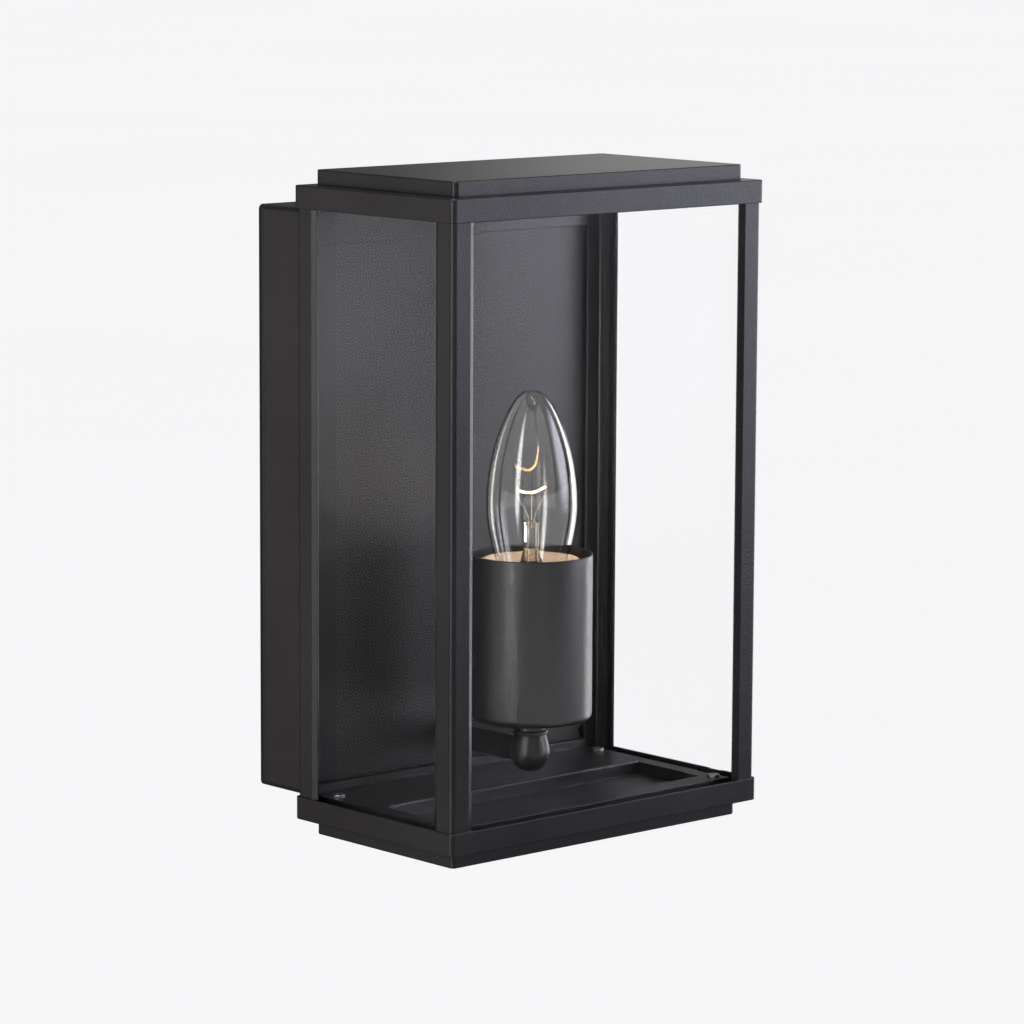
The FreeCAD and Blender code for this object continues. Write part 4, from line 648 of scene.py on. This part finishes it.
# ------------------------------------------------------------------ lead wires
# Two nickel wires come up out of the stem, spread and stand up to the coil's ends, and
# a fine straight hook between them props the coil's middle. They are bent by hand.
LEAD_R = 0.00022
LEAD_APART = 0.0014          # half the gap between the wires in the stem
LEAD_FOOT = 0.006            # over the stem's foot
LEAD_GRIP = 0.004            # under the stem's top
LEAD_FREE = 0.002            # over the stem's top, where the wires start to spread
LEAD_BEND = 0.003            # under the coil's ends
LEAD_CLAMP = 0.0008
HOOK_GRIP = 0.003            # under the stem's top
HOOK_GAP = 0.0003            # under the coil's lowest point
COIL_R = 0.00030
NICKEL_WIRE = "d6cdbd"
NICKEL_WIRE_DARK = "a79d8c"


def wire_piece(name, runs, radius):
    """Curve piece with a round section through each list of points."""
    curve = bpy.data.curves.new(name, "CURVE")
    curve.dimensions = "3D"
    curve.bevel_depth = radius
    curve.bevel_resolution = 3
    curve.use_fill_caps = True
    for run in runs:
        spline = curve.splines.new("NURBS")
        spline.points.add(len(run) - 1)
        for point, place in zip(spline.points, run):
            point.co = (*place, 1.0)
        spline.order_u = 3
        spline.use_endpoint_u = True
    piece = bpy.data.objects.new(name, curve)
    bpy.context.scene.collection.objects.link(piece)
    return piece


lead_low, lead_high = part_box("bulb_leads")
coil_low, coil_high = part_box("bulb_filament")
hook_level = coil_high.z - COIL_R
sag_level = coil_low.z + COIL_R
half_span = (lead_high.x - lead_low.x) / 2 - LEAD_R
lamp_axis = lamp_centre.to_3d()
leads = []
for side in (-1, 1):
    bends = [(LEAD_APART, stem_low + LEAD_FOOT), (LEAD_APART, stem_high - LEAD_GRIP),
             (LEAD_APART, stem_high + LEAD_FREE), (half_span, hook_level - LEAD_BEND),
             (half_span, hook_level - LEAD_CLAMP), (half_span, lead_high.z)]
    leads.append([lamp_axis + Vector((side * x, 0, z)) for x, z in bends])
hook_levels = (stem_high - HOOK_GRIP, stem_high + LEAD_FREE, sag_level - HOOK_GAP)
leads.append([lamp_axis + Vector((0, 0, level)) for level in hook_levels])
nickel_wire = plated("nickel_wire", NICKEL_WIRE, NICKEL_WIRE_DARK, NICKEL_ROUGHNESS)
stands_for(wire_piece("lamp_leads", leads, LEAD_R), "bulb", nickel_wire, "bulb_leads")

# ------------------------------------------------------------------ filament
# A tungsten wire wound into a close coil, slung between the lead wires so that it sags
# to the hook. It is lit low, at a soft gold heat.
COIL_WIRE = 0.00009
COIL_TURNS = 30
COIL_STEPS = 14              # points in one turn
COIL_INSET = 0.0004          # the coil ends this far inside the lead wires
TUNGSTEN = "f0c684"
TUNGSTEN_ROUGHNESS = 0.35
FILAMENT_GLOW = "ffc46a"
FILAMENT_GLOW_HOT = "ffe7b5"
HEAT_MM = 2.5
HEAT_STRENGTH = 45.0


def glowing_coil():
    """Tungsten at a gold heat: its own metal under a soft glow, a little brighter in places."""
    material, tree, output, place = new_finish("hot_tungsten")
    heat = add(tree, "ShaderNodeTexNoise", values={"Scale": per_mm(HEAT_MM), "Detail": 2.0},
               links={"Vector": place}).outputs["Fac"]
    glow = add(tree, "ShaderNodeValToRGB", stops=[(0.3, FILAMENT_GLOW), (0.7, FILAMENT_GLOW_HOT)],
               links={"Fac": heat}).outputs["Color"]
    shader = add(tree, "ShaderNodeBsdfPrincipled",
                 values={"Metallic": 1.0, "Roughness": TUNGSTEN_ROUGHNESS,
                         "Base Color": linear(TUNGSTEN), "Emission Strength": HEAT_STRENGTH},
                 links={"Emission Color": glow})
    tree.links.new(shader.outputs["BSDF"], output.inputs["Surface"])
    return material


coil = []
coil_points = COIL_TURNS * COIL_STEPS
for k in range(coil_points + 1):
    share = k / coil_points
    across = (2 * share - 1) * (half_span - COIL_INSET)
    level = sag_level + (hook_level - sag_level) * (2 * share - 1) ** 2
    turn = 2 * math.pi * COIL_TURNS * share
    coil.append(lamp_axis + Vector((across, COIL_R * math.cos(turn), level + COIL_R * math.sin(turn))))
filament = wire_piece("lamp_filament", [coil], COIL_WIRE)
stands_for(filament, "bulb", glowing_coil(), "bulb_filament")

# ------------------------------------------------------------------ floor
# A pale matt sweep well below the lantern. It is kept out of reflections, so that the
# black coat and the panes stay dark.
FLOOR_LEVEL = -1.3
FLOOR_SIZE = 200.0
FLOOR_SHADE = "f4f4f5"
FLOOR_PALE = "f6f6f7"
FLOOR_CLOUDS = 0.4           # clouds of shade in a metre

floor_mesh = bpy.data.meshes.new("floor")
half = FLOOR_SIZE / 2
floor_mesh.from_pydata([(-half, -half, FLOOR_LEVEL), (half, -half, FLOOR_LEVEL),
                        (half, half, FLOOR_LEVEL), (-half, half, FLOOR_LEVEL)], [], [(0, 1, 2, 3)])
floor = bpy.data.objects.new("floor", floor_mesh)
bpy.context.scene.collection.objects.link(floor)
material, tree, output, place = new_finish("pale_floor")
cloud = add(tree, "ShaderNodeTexNoise", values={"Scale": FLOOR_CLOUDS, "Detail": 2.0},
            links={"Vector": place}).outputs["Fac"]
pale = add(tree, "ShaderNodeValToRGB", stops=[(0.0, FLOOR_SHADE), (1.0, FLOOR_PALE)],
           links={"Fac": cloud}).outputs["Color"]
shader = add(tree, "ShaderNodeBsdfPrincipled", values={"Roughness": 1.0, "Specular IOR Level": 0.0},
             links={"Base Color": pale})
tree.links.new(shader.outputs["BSDF"], output.inputs["Surface"])
floor_mesh.materials.append(material)
floor.visible_glossy = False

# ------------------------------------------------------------------ studio light
# A large key on the right lights the front, a fill behind the left lights the side, and
# a weak one grazes the roof. Three tall strips draw the streaks on lamp, cup and edges.
SOFT_BOXES = [  # name, place, aim, width and height, watts, colour
    ("key_right", (0.95, -0.80, 0.26), (0, -0.07, 0.02), (1.5, 1.6), 37.0, "eef0ff"),
    ("fill_left", (-1.6, 1.6, -0.12), (0, -0.07, 0.0), (1.8, 2.2), 11.0, "fff0f4"),
    ("roof_light", (0.52, 0.33, 0.30), (0, -0.07, 0.13), (0.6, 0.5), 0.75, "ffffff"),
    ("strip_left", (-1.37, -0.34, 0.25), (0, -0.07, 0.0), (0.55, 3.0), 45.0, "ffffff"),
    ("strip_front", (-0.63, -1.50, 0.25), (0, -0.07, 0.0), (0.45, 2.6), 6.0, "ffffff"),
    ("strip_right", (1.55, 0.05, 0.0), (0, -0.07, 0.0), (0.90, 2.6), 32.0, "ffffff")]
GLOW_WATTS = 0.06            # what the filament throws on the porcelain
GLOW_RADIUS = 0.004
GLOW_COLOUR = "ffe9d2"
SUN_STRENGTH = 2.85
SUN_SOFTNESS = math.radians(40)
SKY = "e9ebf0"
SKY_STRENGTH = 0.12


def soft_box(name, place, aim, size, watts, colour):
    """Area light at a place, facing a point, that fades out smoothly towards its edges."""
    data = bpy.data.lights.new(name, "AREA")
    data.shape = "RECTANGLE"
    data.size, data.size_y = size
    data.energy = watts
    data.color = linear(colour)[:3]
    data.use_nodes = True
    tree = data.node_tree
    tree.nodes.clear()
    across = add(tree, "ShaderNodeNewGeometry").outputs["Parametric"]
    spread = add(tree, "ShaderNodeMapping", settings={"vector_type": "POINT"},
                 values={"Location": (-1.0, -1.0, 0.0), "Scale": (2.0, 2.0, 0.0)},
                 links={"Vector": across}).outputs["Vector"]
    fade = add(tree, "ShaderNodeTexGradient", settings={"gradient_type": "QUADRATIC_SPHERE"},
               links={"Vector": spread}).outputs["Fac"]
    glow = add(tree, "ShaderNodeMapRange", settings={"interpolation_type": "SMOOTHSTEP"},
               values={"From Max": 0.5}, links={"Value": fade}).outputs["Result"]
    lit = add(tree, "ShaderNodeEmission", links={"Strength": glow})
    add(tree, "ShaderNodeOutputLight", links={"Surface": lit.outputs["Emission"]})
    lamp = bpy.data.objects.new(name, data)
    lamp.location = place
    lamp.rotation_euler = (Vector(aim) - Vector(place)).to_track_quat("-Z", "Y").to_euler()
    bpy.context.scene.collection.objects.link(lamp)


for box in SOFT_BOXES:
    soft_box(*box)

lamp_glow = bpy.data.lights.new("lamp_glow", "POINT")
lamp_glow.energy = GLOW_WATTS
lamp_glow.shadow_soft_size = GLOW_RADIUS
lamp_glow.color = linear(GLOW_COLOUR)[:3]
glow_object = bpy.data.objects.new("lamp_glow", lamp_glow)
glow_object.location = lamp_axis + Vector((0, 0, hook_level))
glow_object.visible_camera = False
glow_object.visible_glossy = False
glow_object.visible_transmission = False
bpy.context.scene.collection.objects.link(glow_object)

sun = bpy.data.lights.new("floor_light", "SUN")
sun.energy = SUN_STRENGTH
sun.angle = SUN_SOFTNESS
sun_object = bpy.data.objects.new("floor_light", sun)
bpy.context.scene.collection.objects.link(sun_object)

world = bpy.data.worlds.new("studio")
world.use_nodes = True
sky = world.node_tree.nodes["Background"]
sky.inputs["Color"].default_value = linear(SKY)
sky.inputs["Strength"].default_value = SKY_STRENGTH
bpy.context.scene.world = world

# ------------------------------------------------------------------ camera
# A long lens at the lantern's front left, a little above it and looking slightly down.
# Its place is in metres from the middle of the back of the wall box.
LENS_MM = 154.33
SENSOR_MM = 36.0
FARTHEST = 300.0             # past the floor's far edge
CAMERA_AT = Vector((-1.14205, -1.33231, 0.24969))
YAW = math.radians(41.936)
PITCH = math.radians(8.5234)
ROLL = math.radians(0.2842)

view = Vector((math.sin(YAW) * math.cos(PITCH), math.cos(YAW) * math.cos(PITCH), -math.sin(PITCH)))
level_right = view.cross(Vector((0, 0, 1))).normalized()
level_up = level_right.cross(view)
right = level_right * math.cos(ROLL) + level_up * math.sin(ROLL)
up = -level_right * math.sin(ROLL) + level_up * math.cos(ROLL)
camera_data = bpy.data.cameras.new("camera")
camera_data.lens = LENS_MM
camera_data.sensor_width = SENSOR_MM
camera_data.clip_end = FARTHEST
camera = bpy.data.objects.new("camera", camera_data)
camera.matrix_world = Matrix.Translation(CAMERA_AT) @ Matrix((right, up, -view)).transposed().to_4x4()
bpy.context.scene.collection.objects.link(camera)
bpy.context.scene.camera = camera
bpy.context.scene.view_settings.view_transform = "Standard"
